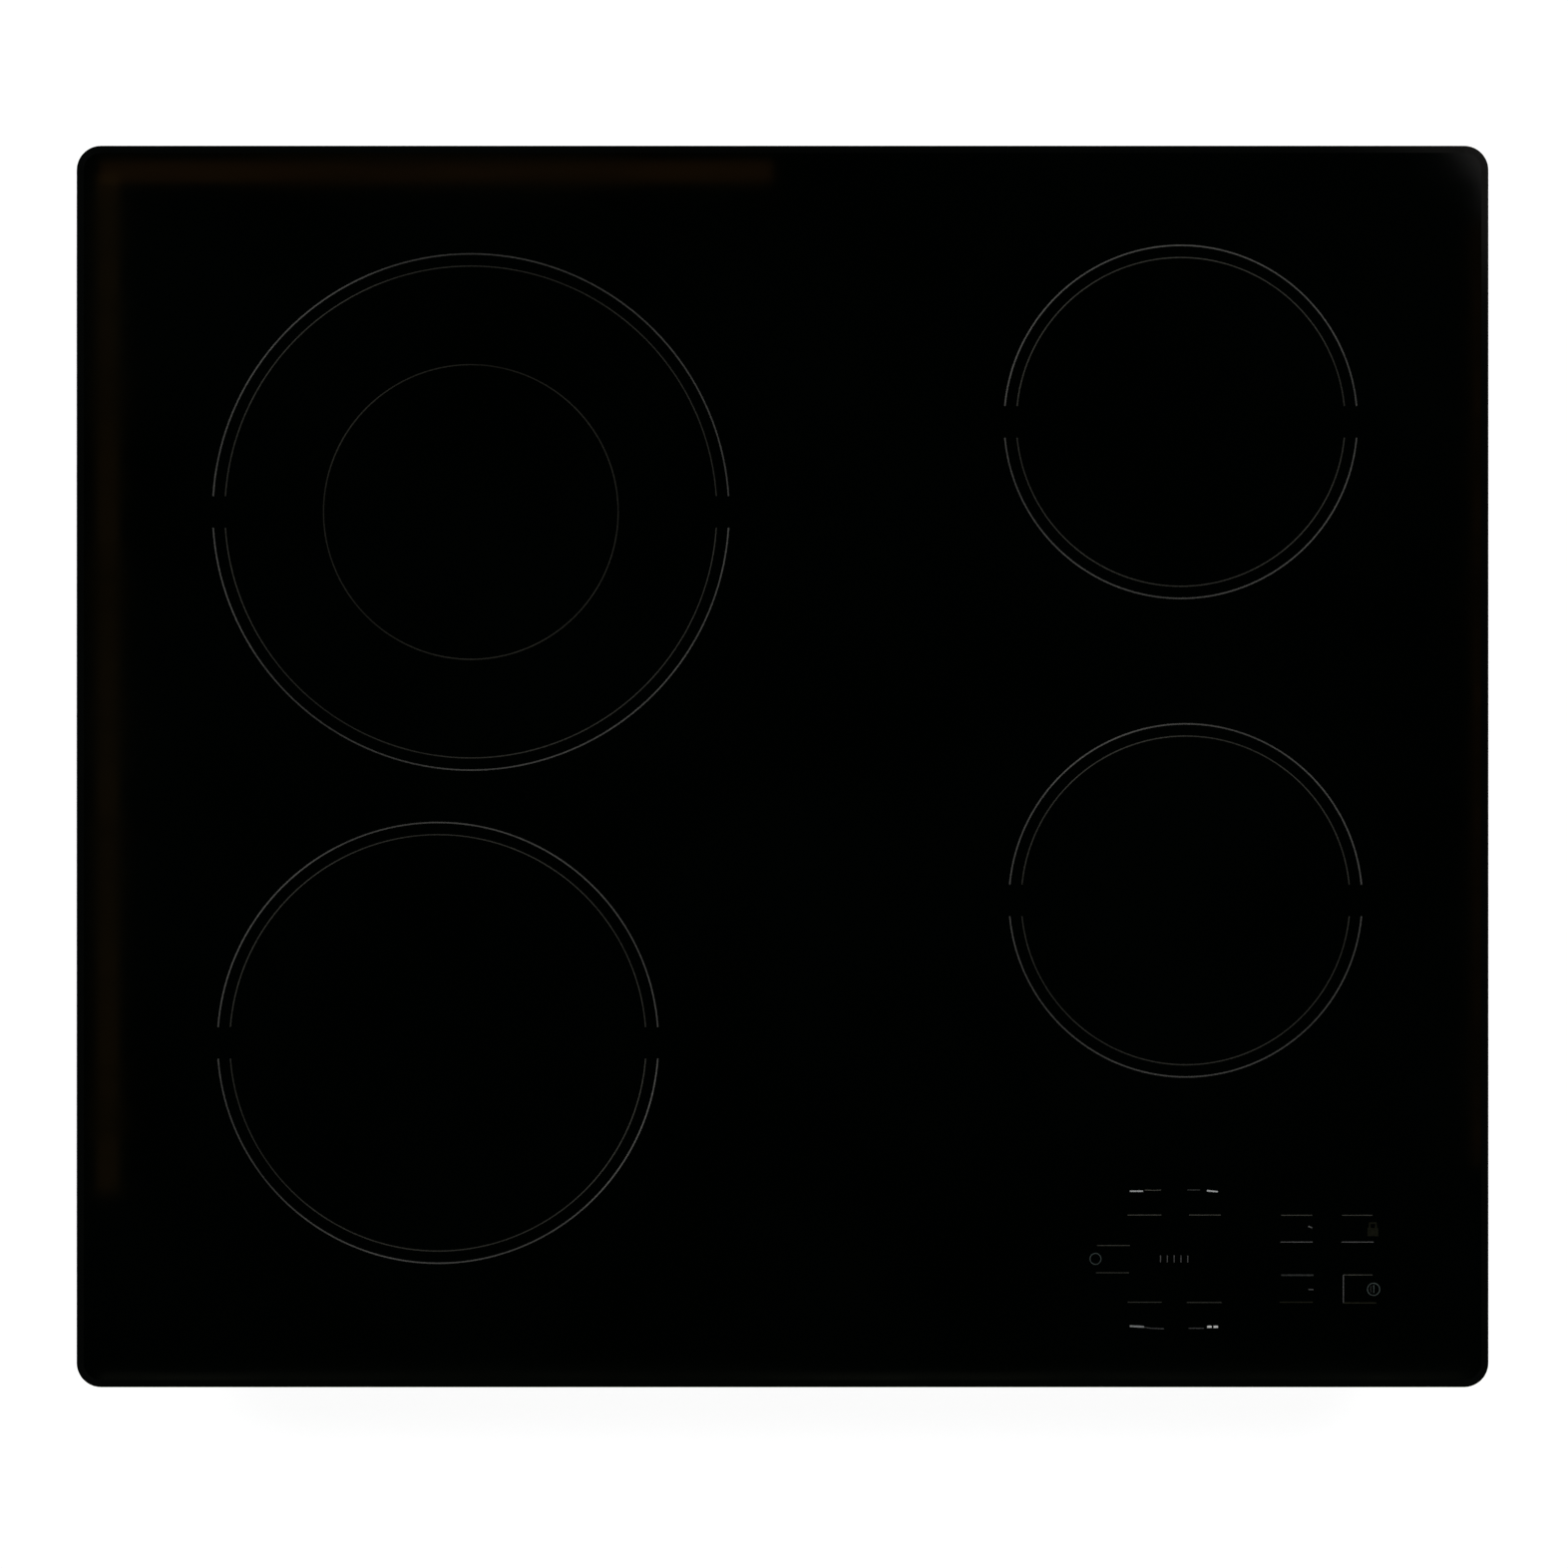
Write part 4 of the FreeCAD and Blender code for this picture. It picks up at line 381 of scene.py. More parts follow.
each(moulding,
    ("former_plastic", (0.52, 0.5, 0.42), (0.6, 0.58, 0.5), 0.5),
    ("sensor_ceramic", (0.74, 0.74, 0.7), (0.82, 0.82, 0.78), 0.45, 2200),
    ("carrier_plastic", grey(0.018), grey(0.028), 0.46),
    ("component_black", grey(0.012), grey(0.02), 0.38, 1500),
    ("capacitor_film", (0.42, 0.035, 0.03), (0.5, 0.05, 0.04), 0.3, 1500, 0.01),
    ("choke_tape", (0.62, 0.48, 0.06), (0.7, 0.56, 0.1), 0.35, 500),
    ("pad_rubber", grey(0.02), grey(0.03), 0.75, 1800),
    ("display_plastic", (0.05, 0.006, 0.006), (0.07, 0.01, 0.01), 0.16, 400, 0.004),
    ("terminal_moulding", (0.7, 0.69, 0.64), (0.76, 0.75, 0.71), 0.4),
    ("sleeve", (0.01, 0.016, 0.05), (0.014, 0.022, 0.07), 0.32, 500, 0.005),
    ("relay_case", (0.03, 0.06, 0.16), (0.04, 0.075, 0.19), 0.36, 700, 0.01),
    ("silicone_red", (0.2, 0.018, 0.014), (0.26, 0.03, 0.02), 0.55, 1600, 0.01),
    ("pvc_brown", (0.075, 0.028, 0.012), (0.1, 0.04, 0.018), 0.38, 900, 0.01),
    ("pvc_blue", (0.015, 0.07, 0.3), (0.02, 0.09, 0.38), 0.38, 900, 0.01),
    ("pvc_green", (0.04, 0.22, 0.03), (0.06, 0.28, 0.05), 0.38, 900, 0.01),
    ("pvc_grey", grey(0.28), grey(0.36), 0.45, 900, 0.01),
)


def dress_cad():
    """Every CAD node gets the material of its slot in the record."""
    for entry in frame["record"]["subparts"]:
        node = frame["nodes"][entry["node"]]
        node.data.materials.clear()
        node.data.materials.append(M[entry["material_slot"]])


# ---------- mesh helper
class Shape:
    """One piece's mesh, put together from simple forms; each form takes the material set before it."""

    def __init__(self):
        self.bm = bmesh.new()
        self.wire = self.bm.loops.layers.uv.new("wire")
        self.names = []
        self.current = 0

    def paint(self, name):
        if name not in self.names:
            self.names.append(name)
        self.current = self.names.index(name)
        return self

    def face(self, *corners, smooth=False):
        made = self.bm.faces.new(corners)
        made.material_index = self.current
        made.smooth = smooth
        return made

    def skin(self, rings, smooth=True, caps=True):
        """Faces from ring to ring of corners, and over both ends; a ring of one corner is a tip."""
        rows = []
        for low, high in zip(rings, rings[1:]):
            count = max(len(low), len(high))
            row = []
            for i in range(count if count > 1 else 0):
                j = (i + 1) % count
                near = low[:1] if len(low) == 1 else [low[i], low[j]]
                far = high[:1] if len(high) == 1 else [high[j], high[i]]
                row.append(self.face(*near, *far, smooth=smooth))
            rows.append(row)
        if caps:
            self.face(*reversed(rings[0]))
            self.face(*rings[-1])
        return rows

    def box(self, low, high, bevel=0.0, segments=2):
        """A block between two opposite corners, with its edges rounded by a bevel."""
        low, high = Vector(map(min, low, high)), Vector(map(max, low, high))
        made = bmesh.ops.create_cube(self.bm, size=1.0)["verts"]
        for v in made:
            v.co = v.co * (high - low) + (low + high) / 2
        for f in {f for v in made for f in v.link_faces}:
            f.material_index = self.current
        if bevel:
            edges = list({e for v in made for e in v.link_edges})
            done = bmesh.ops.bevel(self.bm, geom=edges, offset=bevel, segments=segments, profile=0.5,
                                   affect="EDGES", clamp_overlap=True)
            for f in done["faces"]:
                f.material_index = self.current
                f.smooth = True
        return self

    def lathe(self, profile, place, segments, turn=Matrix.Identity(3), smooth=True):
        """Turns (radius, height) points about an axis through a place; the axis is +Z before the turn."""
        self.skin([[
            self.bm.verts.new(turn @ Vector(around((0, 0), radius, i / segments, height)) + Vector(place))
            for i in range(segments if radius > 0 else 1)] for radius, height in profile], smooth, caps=False)
        return self

    def tube(self, points, radius, sides, caps=True):
        """A round wire along points; its wire coordinates run along it and round it, in wire radii."""
        points = [Vector(p) for p in points]
        spots = circle((0, 0), radius, sides)
        rings, lengths, travelled, normal = [], [], 0.0, None
        for i, point in enumerate(points):
            ahead = (points[min(i + 1, len(points) - 1)] - points[max(i - 1, 0)]).normalized()
            if normal is None:
                normal = ahead.orthogonal().normalized()
            normal = (normal - ahead * normal.dot(ahead)).normalized()
            side = ahead.cross(normal)
            if i:
                travelled += (point - points[i - 1]).length
            lengths.append(travelled / radius)
            rings.append([self.bm.verts.new(point + normal * x + side * y) for x, y in spots])
        for i, row in enumerate(self.skin(rings, caps=caps)):
            for k, face in enumerate(row):
                places = ((i, k), (i, k + 1), (i + 1, k + 1), (i + 1, k))
                for loop, (along, turned) in zip(face.loops, places):
                    loop[self.wire].uv = (lengths[along], turned * TAU / sides)
        return self

    def thread(self, place, turn, root, crest, pitch, length, segments=14, steps=6):
        """A screw thread of one start: the radius rises and falls once in each pitch, and once round."""
        count = max(2, round(length / pitch * steps))
        rings = []
        for height in (length * i / count for i in range(count + 1)):
            ring = []
            for k in range(segments):
                phase = (height / pitch - k / segments) % 1.0
                taper = min(1.0, (length - height) / pitch + 0.35)
                radius = (root + (crest - root) * (1 - abs(2 * phase - 1))) * taper
                spot = turn @ Vector(around((0, 0), radius, k / segments, -height))
                ring.append(self.bm.verts.new(spot + Vector(place)))
            rings.append(ring)
        self.skin(rings)
        return self

    def ribbon(self, points, width, closed=False):
        """A printed line of even width along points in plan, lying on the glass."""
        points = [Vector(p).to_2d() for p in points]
        count = len(points)
        rings = []
        for i, point in enumerate(points):
            before = points[i - 1] if (i or closed) else point
            after = points[(i + 1) % count] if (i + 1 < count or closed) else point
            ahead = (after - before).normalized()
            across = Vector((-ahead.y, ahead.x)) * width / 2
            corners = ((1, PRINT_LOW), (1, PRINT_HIGH), (-1, PRINT_HIGH), (-1, PRINT_LOW))
            rings.append([self.bm.verts.new((*(point + across * side), z)) for side, z in corners])
        self.skin(rings + rings[:1] if closed else rings, smooth=False, caps=not closed)
        return self

    def finish(self, name, slot, *replaced):
        """Makes the piece, which rides the chassis and takes the place of CAD nodes."""
        bmesh.ops.recalc_face_normals(self.bm, faces=self.bm.faces)
        mesh = bpy.data.meshes.new(name)
        self.bm.to_mesh(mesh)
        self.bm.free()
        for material in self.names:
            mesh.materials.append(M[material])
        piece = placed(name, mesh)
        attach(piece, "chassis")
        if replaced:
            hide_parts(*replaced)
        return piece


# ---------- printing
PRINT_LOW, PRINT_HIGH = GLASS_TOP + 0.005 * MM, GLASS_TOP + 0.06 * MM
RING_WIDTH, INNER_WIDTH, CORE_WIDTH = 0.55 * MM, 0.45 * MM, 0.50 * MM
RING_PITCH = 5 * MM
RING_BREAK = 13 * MM
RING_SEGMENTS = 160


def broken_circle(shape, centre, radius, width):
    """One fine line round a zone, open at three and nine o'clock."""
    gap = math.asin(RING_BREAK / 2 / radius) / TAU
    for start in (0.0, 0.5):
        shape.ribbon(arc(centre, radius, start + gap, start + 0.5 - gap, RING_SEGMENTS // 2), width)


def zone_prints():
    """The fired lines: a pair round each zone and one round the inner circuit of the dual zone."""
    shape = Shape()
    lines = islands("zone_rings")
    for zone in ZONES:
        centre = middle(f"{zone}_coil_former")
        radii = [high.y - centre.y for low, high in lines
                 if low.x < centre.x < high.x and high.y > centre.y
                 and abs((low.x + high.x) / 2 - centre.x) < MM
                 and abs(low.y - centre.y) < high.y - centre.y + MM]
        outer = max(radii)
        broken_circle(shape.paint("enamel_print"), centre, outer, RING_WIDTH)
        broken_circle(shape.paint("enamel_inner"), centre, outer - RING_PITCH, INNER_WIDTH)
        if zone == "rear_left":
            core = circle(centre, min(radii), RING_SEGMENTS)
            shape.paint("enamel_core").ribbon(core, CORE_WIDTH, closed=True)
    shape.finish("zone_prints", "enamel_print", "zone_rings")


# Key marks, in the order of the touch pads under them: strokes as (enamel, width, x, y, x, y ...), in
# millimetres from the middle of the pad.
LINE, DASH, DOT = 0.32, 0.6, 0.9
KEYS = {
    "left": (("key", LINE, -6.4, 5.3, 7.1, 5.3), ("key", LINE, -6.8, -5.9, 6.8, -5.9)),
    "lower_left": (("key", LINE, -6.8, 5.0, 7.2, 5.0), ("legend", 0.75, -5.9, -4.8, -0.1, -5.1),
        ("bright", LINE, -0.1, -5.2, 2.5, -5.7, 8.1, -5.9)),
    "upper_left": (("legend", DASH, -5.9, 4.6, -0.5, 4.6), ("key", LINE, 0.2, 5.1, 4.4, 4.9, 6.9, 5.1),
        ("key", LINE, -6.8, -5.2, 7.0, -5.2)),
    "lower_right": (("key", LINE, -7.0, 4.9, 7.3, 4.9), ("bright", LINE, -6.3, -5.7, 0.0, -5.7),
        ("white", DOT, 1.4, -5.1, 3.2, -5.1), ("white", DOT, 4.0, -5.1, 5.8, -5.1)),
    "upper_right": (("dim", LINE, -6.8, 5.1, -1.6, 5.1), ("legend", DASH, 1.2, 4.8, 5.7, 4.4),
        ("key", LINE, -6.0, -5.2, 7.0, -5.2)),
    "boost_low": (("dim", 0.65, -6.2, 5.6, 7.0, 5.6), ("bright", 0.4, 5.0, -0.3, 7.0, -0.3),
        ("faint", 0.45, -6.9, -5.5, 6.7, -5.5)),
    "boost_high": (("key", LINE, -6.2, 5.7, 6.5, 5.7), ("bright", 0.5, 4.9, 1.2, 6.5, 0.5),
        ("bright", LINE, -6.5, -5.3, 6.7, -5.3)),
    "power": (("bright", LINE, -6.2, -5.9, -6.2, 5.7, -5.8, 5.7), ("key", LINE, -5.8, 5.7, 5.8, 5.7),
        ("faint", 0.45, -6.2, -5.8, 7.4, -5.8), ("circle", LINE, 6.3, 1.5, 6.3, -1.7),
        ("dim", LINE, 5.2, 1.2, 5.0, -0.2, 5.2, -1.4)),
    "lock": (("key", LINE, -6.8, 5.7, 5.8, 5.7), ("bright", LINE, -6.9, -5.3, 6.2, -5.3),
        ("lock", 3.4, 3.7, -1.2, 8.1, -1.2), ("lock", 0.9, 4.6, 0.5, 4.6, 2.5, 7.2, 2.5, 7.2, 0.5)),
}
TICKS, TICK_PITCH, TICK_TOP, TICK_FOOT = 5, 2.8, 1.2, -1.6
CIRCLE_MARKS = {"left": (-7.0, -0.2, 2.26), "power": (6.2, -0.2, 2.5)}


def key_marks():
    """The print over the touch pads and the row of ticks over the middle display."""
    shape = Shape()
    for (name, strokes), (low, high) in zip(KEYS.items(), islands("touch_pads")):
        centre = (low + high) / 2
        for kind, width, *path in strokes:
            places = [(centre.x + x * MM, centre.y + y * MM) for x, y in zip(path[::2], path[1::2])]
            shape.paint(f"enamel_{kind}").ribbon(places, width * MM)
        if name in CIRCLE_MARKS:
            x, y, radius = CIRCLE_MARKS[name]
            ring = circle((centre.x + x * MM, centre.y + y * MM), radius * MM, 40)
            shape.paint("enamel_circle").ribbon(ring, LINE * MM, closed=True)
    low, high = islands("displays")[2]
    centre = (low + high) / 2
    for i in range(TICKS):
        x = centre.x + (i - (TICKS - 1) / 2) * TICK_PITCH * MM
        ends = ((x, centre.y + TICK_TOP * MM), (x, centre.y + TICK_FOOT * MM))
        shape.paint("enamel_bright").ribbon(ends, LINE * MM)
    shape.finish("key_marks", "enamel_print")


# ---------- screws
HEAD_RADIUS, HEAD_HIGH = 3.6 * MM, 2.2 * MM
SHANK_ROOT, SHANK_CREST, THREAD_PITCH = 1.15 * MM, 1.62 * MM, 1.3 * MM

# Profiles as parts of the head's radius and height.
WASHER = ((0, 0), (0.97, 0), (0.985, 0.12), (0.93, 0.24), (0.84, 0.3))
HEXAGON = ((0.84, 0.26), (0.84, 0.82), (0.74, 0.98), (0.50, 0.98), (0.44, 0.86), (0, 0.86))


def scaled(profile, radius, height):
    return [(r * radius, h * height) for r, h in profile]


def outward(low, high):
    """The way out of the pan for a screw at its wall, and the middle of the head's seat."""
    centre = (low + high) / 2
    axis = max(range(2), key=lambda i: abs(centre[i]) / (glass_high - glass_low)[i])
    way = Vector((0, 0, 0))
    way[axis] = math.copysign(1, centre[axis])
    seat = centre.copy()
    seat[axis] = (high[axis] if way[axis] > 0 else low[axis]) - way[axis] * HEAD_HIGH
    return way, seat


def wall_screws(node):
    """Hexagon washer-head sheet-metal screws, driven through the pan's wall."""
    shape = Shape().paint("zinc_plated_steel")
    for low, high in islands(node):
        way, seat = outward(low, high)
        turn = way.to_track_quat("Z", "Y").to_matrix()
        shape.lathe(scaled(WASHER, HEAD_RADIUS, HEAD_HIGH), seat, 28, turn)
        shape.lathe(scaled(HEXAGON, HEAD_RADIUS, HEAD_HIGH), seat, 6, turn, smooth=False)
        shape.thread(seat, turn, SHANK_ROOT, SHANK_CREST, THREAD_PITCH, max(high - low) - HEAD_HIGH)
    shape.finish(f"{node}_threaded", "zinc_plated_steel", node)


# ---------- coils and their springs
LITZ_RADIUS, LITZ_GAP, LITZ_STEP = 1.75 * MM, 0.12 * MM, 48
WINDING_SIDES, SPRING_SIDES = 24, 12
SPRING_WIRE, SPRING_TURNS, SPRING_STEP = 0.55 * MM, 4.5, 20
CLOSED_TURNS = 0.6


def inscribed(low, high, sides):
    """The radius that fits within a CAD ring of so many sides."""
    return (high.x - low.x) / 2 * math.cos(math.pi / sides)


def spiral(node):
    """A flat spiral of litz wire between the winding's inner and outer sides."""
    low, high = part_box(node)
    centre = (low + high) / 2
    inner = LITZ_RADIUS + min(math.hypot(v.co.x - centre.x, v.co.y - centre.y)
                              for v in frame["nodes"][node].data.vertices)
    outer = inscribed(low, high, WINDING_SIDES) - LITZ_RADIUS
    turns = round((outer - inner) / (2 * LITZ_RADIUS + LITZ_GAP))
    count = turns * LITZ_STEP
    points = [around(centre, inner + (outer - inner) * i / count, i / LITZ_STEP, centre.z)
              for i in range(count + 1)]
    shape = Shape().paint("copper_litz").tube(points, LITZ_RADIUS, 8)
    shape.finish(f"{node}_spiral", "copper_litz", node)


def coil_spring(zone):
    """The spring round a sensor's stem, with closed end turns, on a mesh of its own."""
    node = f"{zone}_sensor_spring"
    low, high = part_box(node)
    centre = (low + high) / 2
    radius = inscribed(low, high, SPRING_SIDES) - SPRING_WIRE
    foot, top = low.z + SPRING_WIRE, high.z - SPRING_WIRE
    count = round(SPRING_TURNS * SPRING_STEP)
    points = []
    for i in range(count + 1):
        turn = SPRING_TURNS * i / count
        rise = min(max((turn - CLOSED_TURNS) / (SPRING_TURNS - 2 * CLOSED_TURNS), 0), 1)
        points.append(around(centre, radius, turn, foot + (top - foot) * rise))
    piece = Shape().paint("spring_steel").tube(points, SPRING_WIRE, 8).finish(
        f"{zone}_coiled_spring", "spring_steel", node)
    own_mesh(piece)


# ---------- power electronics
def film_capacitors():
    """Box-type film capacitors: a moulded case with rounded edges and raised feet."""
    shape = Shape()
    rim = 0.8 * MM
    for low, high in islands("filter_capacitors"):
        shape.paint("capacitor_film").box((low.x, low.y, low.z + rim), high, 1.5 * rim, 3)
        shape.paint("component_black")
        for x in (low.x + rim, high.x - 3 * rim):
            for y in (low.y + rim, high.y - 3 * rim):
                shape.box((x, y, low.z), (x + 2 * rim, y + 2 * rim, low.z + 2 * rim))
    shape.finish("film_capacitors", "capacitor_film", "filter_capacitors")


LEG_PITCH, LEG_HALF, LEG_TALL = 5.45 * MM, 0.6 * MM, 4 * MM
TAB_THICK, TAB_INSET = 1.2 * MM, 0.6 * MM


def transistors():
    """Flat power packages: bevelled body, metal tab and three legs down to the board."""
    shape = Shape()
    for low, high in islands("power_transistors"):
        sign = math.copysign(1, low.x + high.x)
        inner, outer = (low.x, high.x) if sign > 0 else (high.x, low.x)
        leg_top = low.z + LEG_TALL
        back = inner + sign * TAB_THICK
        shape.paint("zinc_plated_steel").box(
            (inner, low.y + TAB_INSET, leg_top + MM), (back, high.y - TAB_INSET, high.z - 0.4 * MM), 0.2 * MM)
        shape.paint("component_black").box(
            (back - sign * TAB_THICK / 2, low.y, leg_top), (outer, high.y, high.z), 0.6 * MM)
        shape.paint("zinc_plated_steel")
        for step in (-LEG_PITCH, 0, LEG_PITCH):
            y = (low.y + high.y) / 2 + step
            shape.box((inner + sign * 2.2 * MM, y - LEG_HALF, low.z),
                      (inner + sign * 2.9 * MM, y + LEG_HALF, leg_top + 0.5 * MM))
    shape.finish("power_packages", "component_black", "power_transistors")


CHOKE_LIMB, CHOKE_CORE_HALF, CHOKE_CORNER = 6 * MM, 8.5 * MM, 3 * MM
CHOKE_WIRE = 0.85 * MM
CORE_GAP, CORE_BEVEL = 0.1 * MM, 0.5 * MM
TAPE_HALF, TAPE_PROUD, TAPE_STEP = 5 * MM, 0.15 * MM, 0.4 * MM


def rounded_loop(half_x, half_z, corner, steps=4):
    """A rounded rectangle round the origin, as (x, z) points."""
    corners = ((1, 1), (-1, 1), (-1, -1), (1, -1))
    return [around((sx * (half_x - corner), sz * (half_z - corner)), corner, (quarter + i / steps) / 4)
            for quarter, (sx, sz) in enumerate(corners) for i in range(steps + 1)]


def chokes():
    """E-core chokes: a two-part core, taped round, and a coil of enamelled wire on its middle limb."""
    shape = Shape()
    for low, high in islands("filter_chokes"):
        centre = (low + high) / 2
        half = (high - low) / 2
        x0, x1 = centre.x - CHOKE_CORE_HALF, centre.x + CHOKE_CORE_HALF
        shape.paint("choke_core")
        for z0, z1 in ((low.z, low.z + CHOKE_LIMB), (high.z - CHOKE_LIMB, high.z)):
            shape.box((x0, low.y, z0), (x1, centre.y - CORE_GAP, z1), CORE_BEVEL)
            shape.box((x0, centre.y + CORE_GAP, z0), (x1, high.y, z1), CORE_BEVEL)
        for y0, y1 in ((low.y, low.y + CHOKE_LIMB), (high.y - CHOKE_LIMB, high.y)):
            shape.box((x0, y0, low.z), (x1, y1, high.z), CORE_BEVEL)
        shape.paint("choke_tape").box(
            (x0 - TAPE_PROUD, centre.y - TAPE_HALF, high.z - CHOKE_LIMB + TAPE_STEP),
            (x1 + TAPE_PROUD, centre.y + TAPE_HALF, high.z))
        reach = half.y - CHOKE_LIMB - CHOKE_WIRE
        loop = rounded_loop(half.x - CHOKE_WIRE, half.z - CHOKE_LIMB - CHOKE_WIRE, CHOKE_CORNER)
        count = int(reach / CHOKE_WIRE) * len(loop)
        points = []
        for i in range(count + 1):
            x, z = loop[i % len(loop)]
            points.append((centre.x + x, centre.y - reach + 2 * reach * i / count, centre.z + z))
        shape.paint("copper_litz").tube(points, CHOKE_WIRE, 8)
    shape.finish("wound_chokes", "choke_core", "filter_chokes")


# The nut's parts as (profile in parts of its radius and height, sides): washer, hexagon, and stud.
NUT = (
    (((0, 0), (0.85, 0), (0.85, 0.2), (0, 0.2)), 24),
    (((0.95, 0.2), (0.99, 0.3), (0.99, 0.7), (0.84, 0.82), (0.6, 0.82)), 6),
    (((0.6, 0.5), (0.6, 0.9), (0.5, 1), (0, 1)), 20),
)


def terminal_fittings():
    """Nuts on the terminal block's studs."""
    shape = Shape().paint("brass")
    for low, high in islands("terminal_screws"):
        size = high - low
        foot = ((low.x + high.x) / 2, (low.y + high.y) / 2, low.z)
        for profile, sides in NUT:
            shape.lathe(scaled(profile, size.x / 2, size.z), foot, sides, smooth=sides > 6)
    shape.finish("terminal_nuts", "zinc_plated_steel", "terminal_screws")


# ---------- small parts on boards
SMALL_SIZES = ((2.0, 1.25, 0.6), (3.2, 1.6, 0.7), (1.6, 0.8, 0.5))
BODY_PAINTS = ("component_black", "sensor_ceramic", "choke_core")
BODY_LONG, BODY_WIDE, SOLDER_TALL = 0.62, 1.02, 0.9
SEEDS = {"left_power_board": 11, "right_power_board": 12, "control_board": 13}

# Small parts keep this far, in metres, from a board's edge, off other parts, and lie on this grid.
EDGE_CLEAR, PART_CLEAR, GRID = 0.004, 0.0024, 0.0025


def box_round(x, y, z, half_x, half_y, tall=0.0):
    """The corners of a box that stands on a level, round a place in plan."""
    return Vector((x - half_x, y - half_y, z)), Vector((x + half_x, y + half_y, z + tall))


def clear_of(x, y, boxes):
    """Whether a small part's ground keeps off every box, in plan."""
    return all(x + PART_CLEAR < low.x or x - PART_CLEAR > high.x
               or y + PART_CLEAR < low.y or y - PART_CLEAR > high.y for low, high in boxes)


def scatter(shape, node, taken, count):
    """Small surface-mounted parts, each a body with two soldered ends, off the ground that others take."""
    low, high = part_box(node)
    draw = random.Random(SEEDS[node])
    made = 0
    while made < count:
        x = draw.uniform(low.x + EDGE_CLEAR, high.x - EDGE_CLEAR)
        y = draw.uniform(low.y + EDGE_CLEAR, high.y - EDGE_CLEAR)
        x, y = round(x / GRID) * GRID, round(y / GRID) * GRID
        if not clear_of(x, y, taken):
            continue
        long, wide, tall = (v * MM for v in draw.choice(SMALL_SIZES))
        half = (long / 2, wide / 2) if draw.random() < 0.5 else (wide / 2, long / 2)
        taken.append(box_round(x, y, 0, *half))
        shape.paint("solder").box(*box_round(x, y, high.z, *half, tall * SOLDER_TALL))
        body = [h * (BODY_LONG if h == max(half) else BODY_WIDE) for h in half]
        shape.paint(draw.choice(BODY_PAINTS)).box(*box_round(x, y, high.z, *body, tall))
        made += 1


def chip(shape, x, y, z, half, legs, tall=1.5 * MM):
    """A square package with gull-wing legs on all four sides."""
    raised = 0.2 * MM
    body = box_round(x, y, z + raised, half, half, tall - raised)
    shape.paint("component_black").box(*body, 0.25 * MM)
    shape.paint("solder")
    leg, reach, leg_tall = 0.16 * MM, 1.2 * MM, 0.35 * MM
    for i in range(legs):
        step = (i - (legs - 1) / 2) * (2 * half - 1.2 * MM) / legs
        for sign in (-1, 1):
            inner, outer = sign * (half - 0.1 * MM), sign * (half + reach)
            shape.box((x + step - leg, y + inner, z), (x + step + leg, y + outer, z + leg_tall))
            shape.box((x + inner, y + step - leg, z), (x + outer, y + step + leg, z + leg_tall))
    return box_round(x, y, z, half + reach, half + reach)


# A can's sleeve with its rolled neck, and its bare top, in parts of its radius and height.
CAN_SLEEVE = ((0, 0), (0.96, 0), (1, 0.04), (1, 0.10), (0.93, 0.13), (1, 0.16), (1, 0.95), (0.93, 1))
CAN_TOP = ((0.93, 1), (0.86, 0.985), (0, 0.985))


def can(shape, x, y, z, radius, tall):
    """An electrolytic capacitor: sleeved can, rolled neck, and a bare scored top."""
    shape.paint("sleeve").lathe(scaled(CAN_SLEEVE, radius, tall), (x, y, z), 32)
    shape.paint("aluminium_sheet").lathe(scaled(CAN_TOP, radius, tall), (x, y, z), 32)
    shape.paint("component_black").box(*box_round(x, y, z + 0.98 * tall, 0.7 * radius, 0.2 * MM, 0.01 * tall))
    return box_round(x, y, z, radius, radius)


def block_part(shape, paint, x, y, z, size, bevel=0.4 * MM):
    """A boxy part standing on a board; its size is in millimetres."""
    corners = box_round(x, y, z, size[0] * MM / 2, size[1] * MM / 2, size[2] * MM)
    shape.paint(paint).box(*corners, bevel)
    return corners


def lead_tabs(shape, x, y, z):
    """A pair of flat tabs that a coil's leads push on to."""
    return [block_part(shape, "solder", x + step, y, z, (0.8, 6.3, 9), 0.2 * MM)
            for step in (-4 * MM, 4 * MM)]


# A power board's boxy parts, in millimetres: paint, whether x counts from the board's inner edge (0) or from
# its middle (1), x, y, size and bevel. They are relays, a resistor, one more film capacitor and two plugs.
BOARD_PARTS = (
    ("relay_case", 0, 26, 48, (19, 15.5, 15.5), 0.4),
    ("relay_case", 0, 26, 26, (19, 15.5, 15.5), 0.4),
    ("component_black", 0, 10, -104, (5, 28, 20), 0.4),
    ("capacitor_film", 1, 6, -100, (10, 26, 14), 0.8),
    ("terminal_moulding", 1, 30, 68, (24, 8, 9), 0.4),
    ("terminal_moulding", 0, 30, -113, (22, 6, 7), 0.4),
)
CAN_RADIUS, CAN_TALL = 8 * MM, 19 * MM
CHOKE_RING, CHOKE_ROD, CHOKE_Y, CHOKE_STEPS = 6.5 * MM, 2.4 * MM, -58 * MM, 24


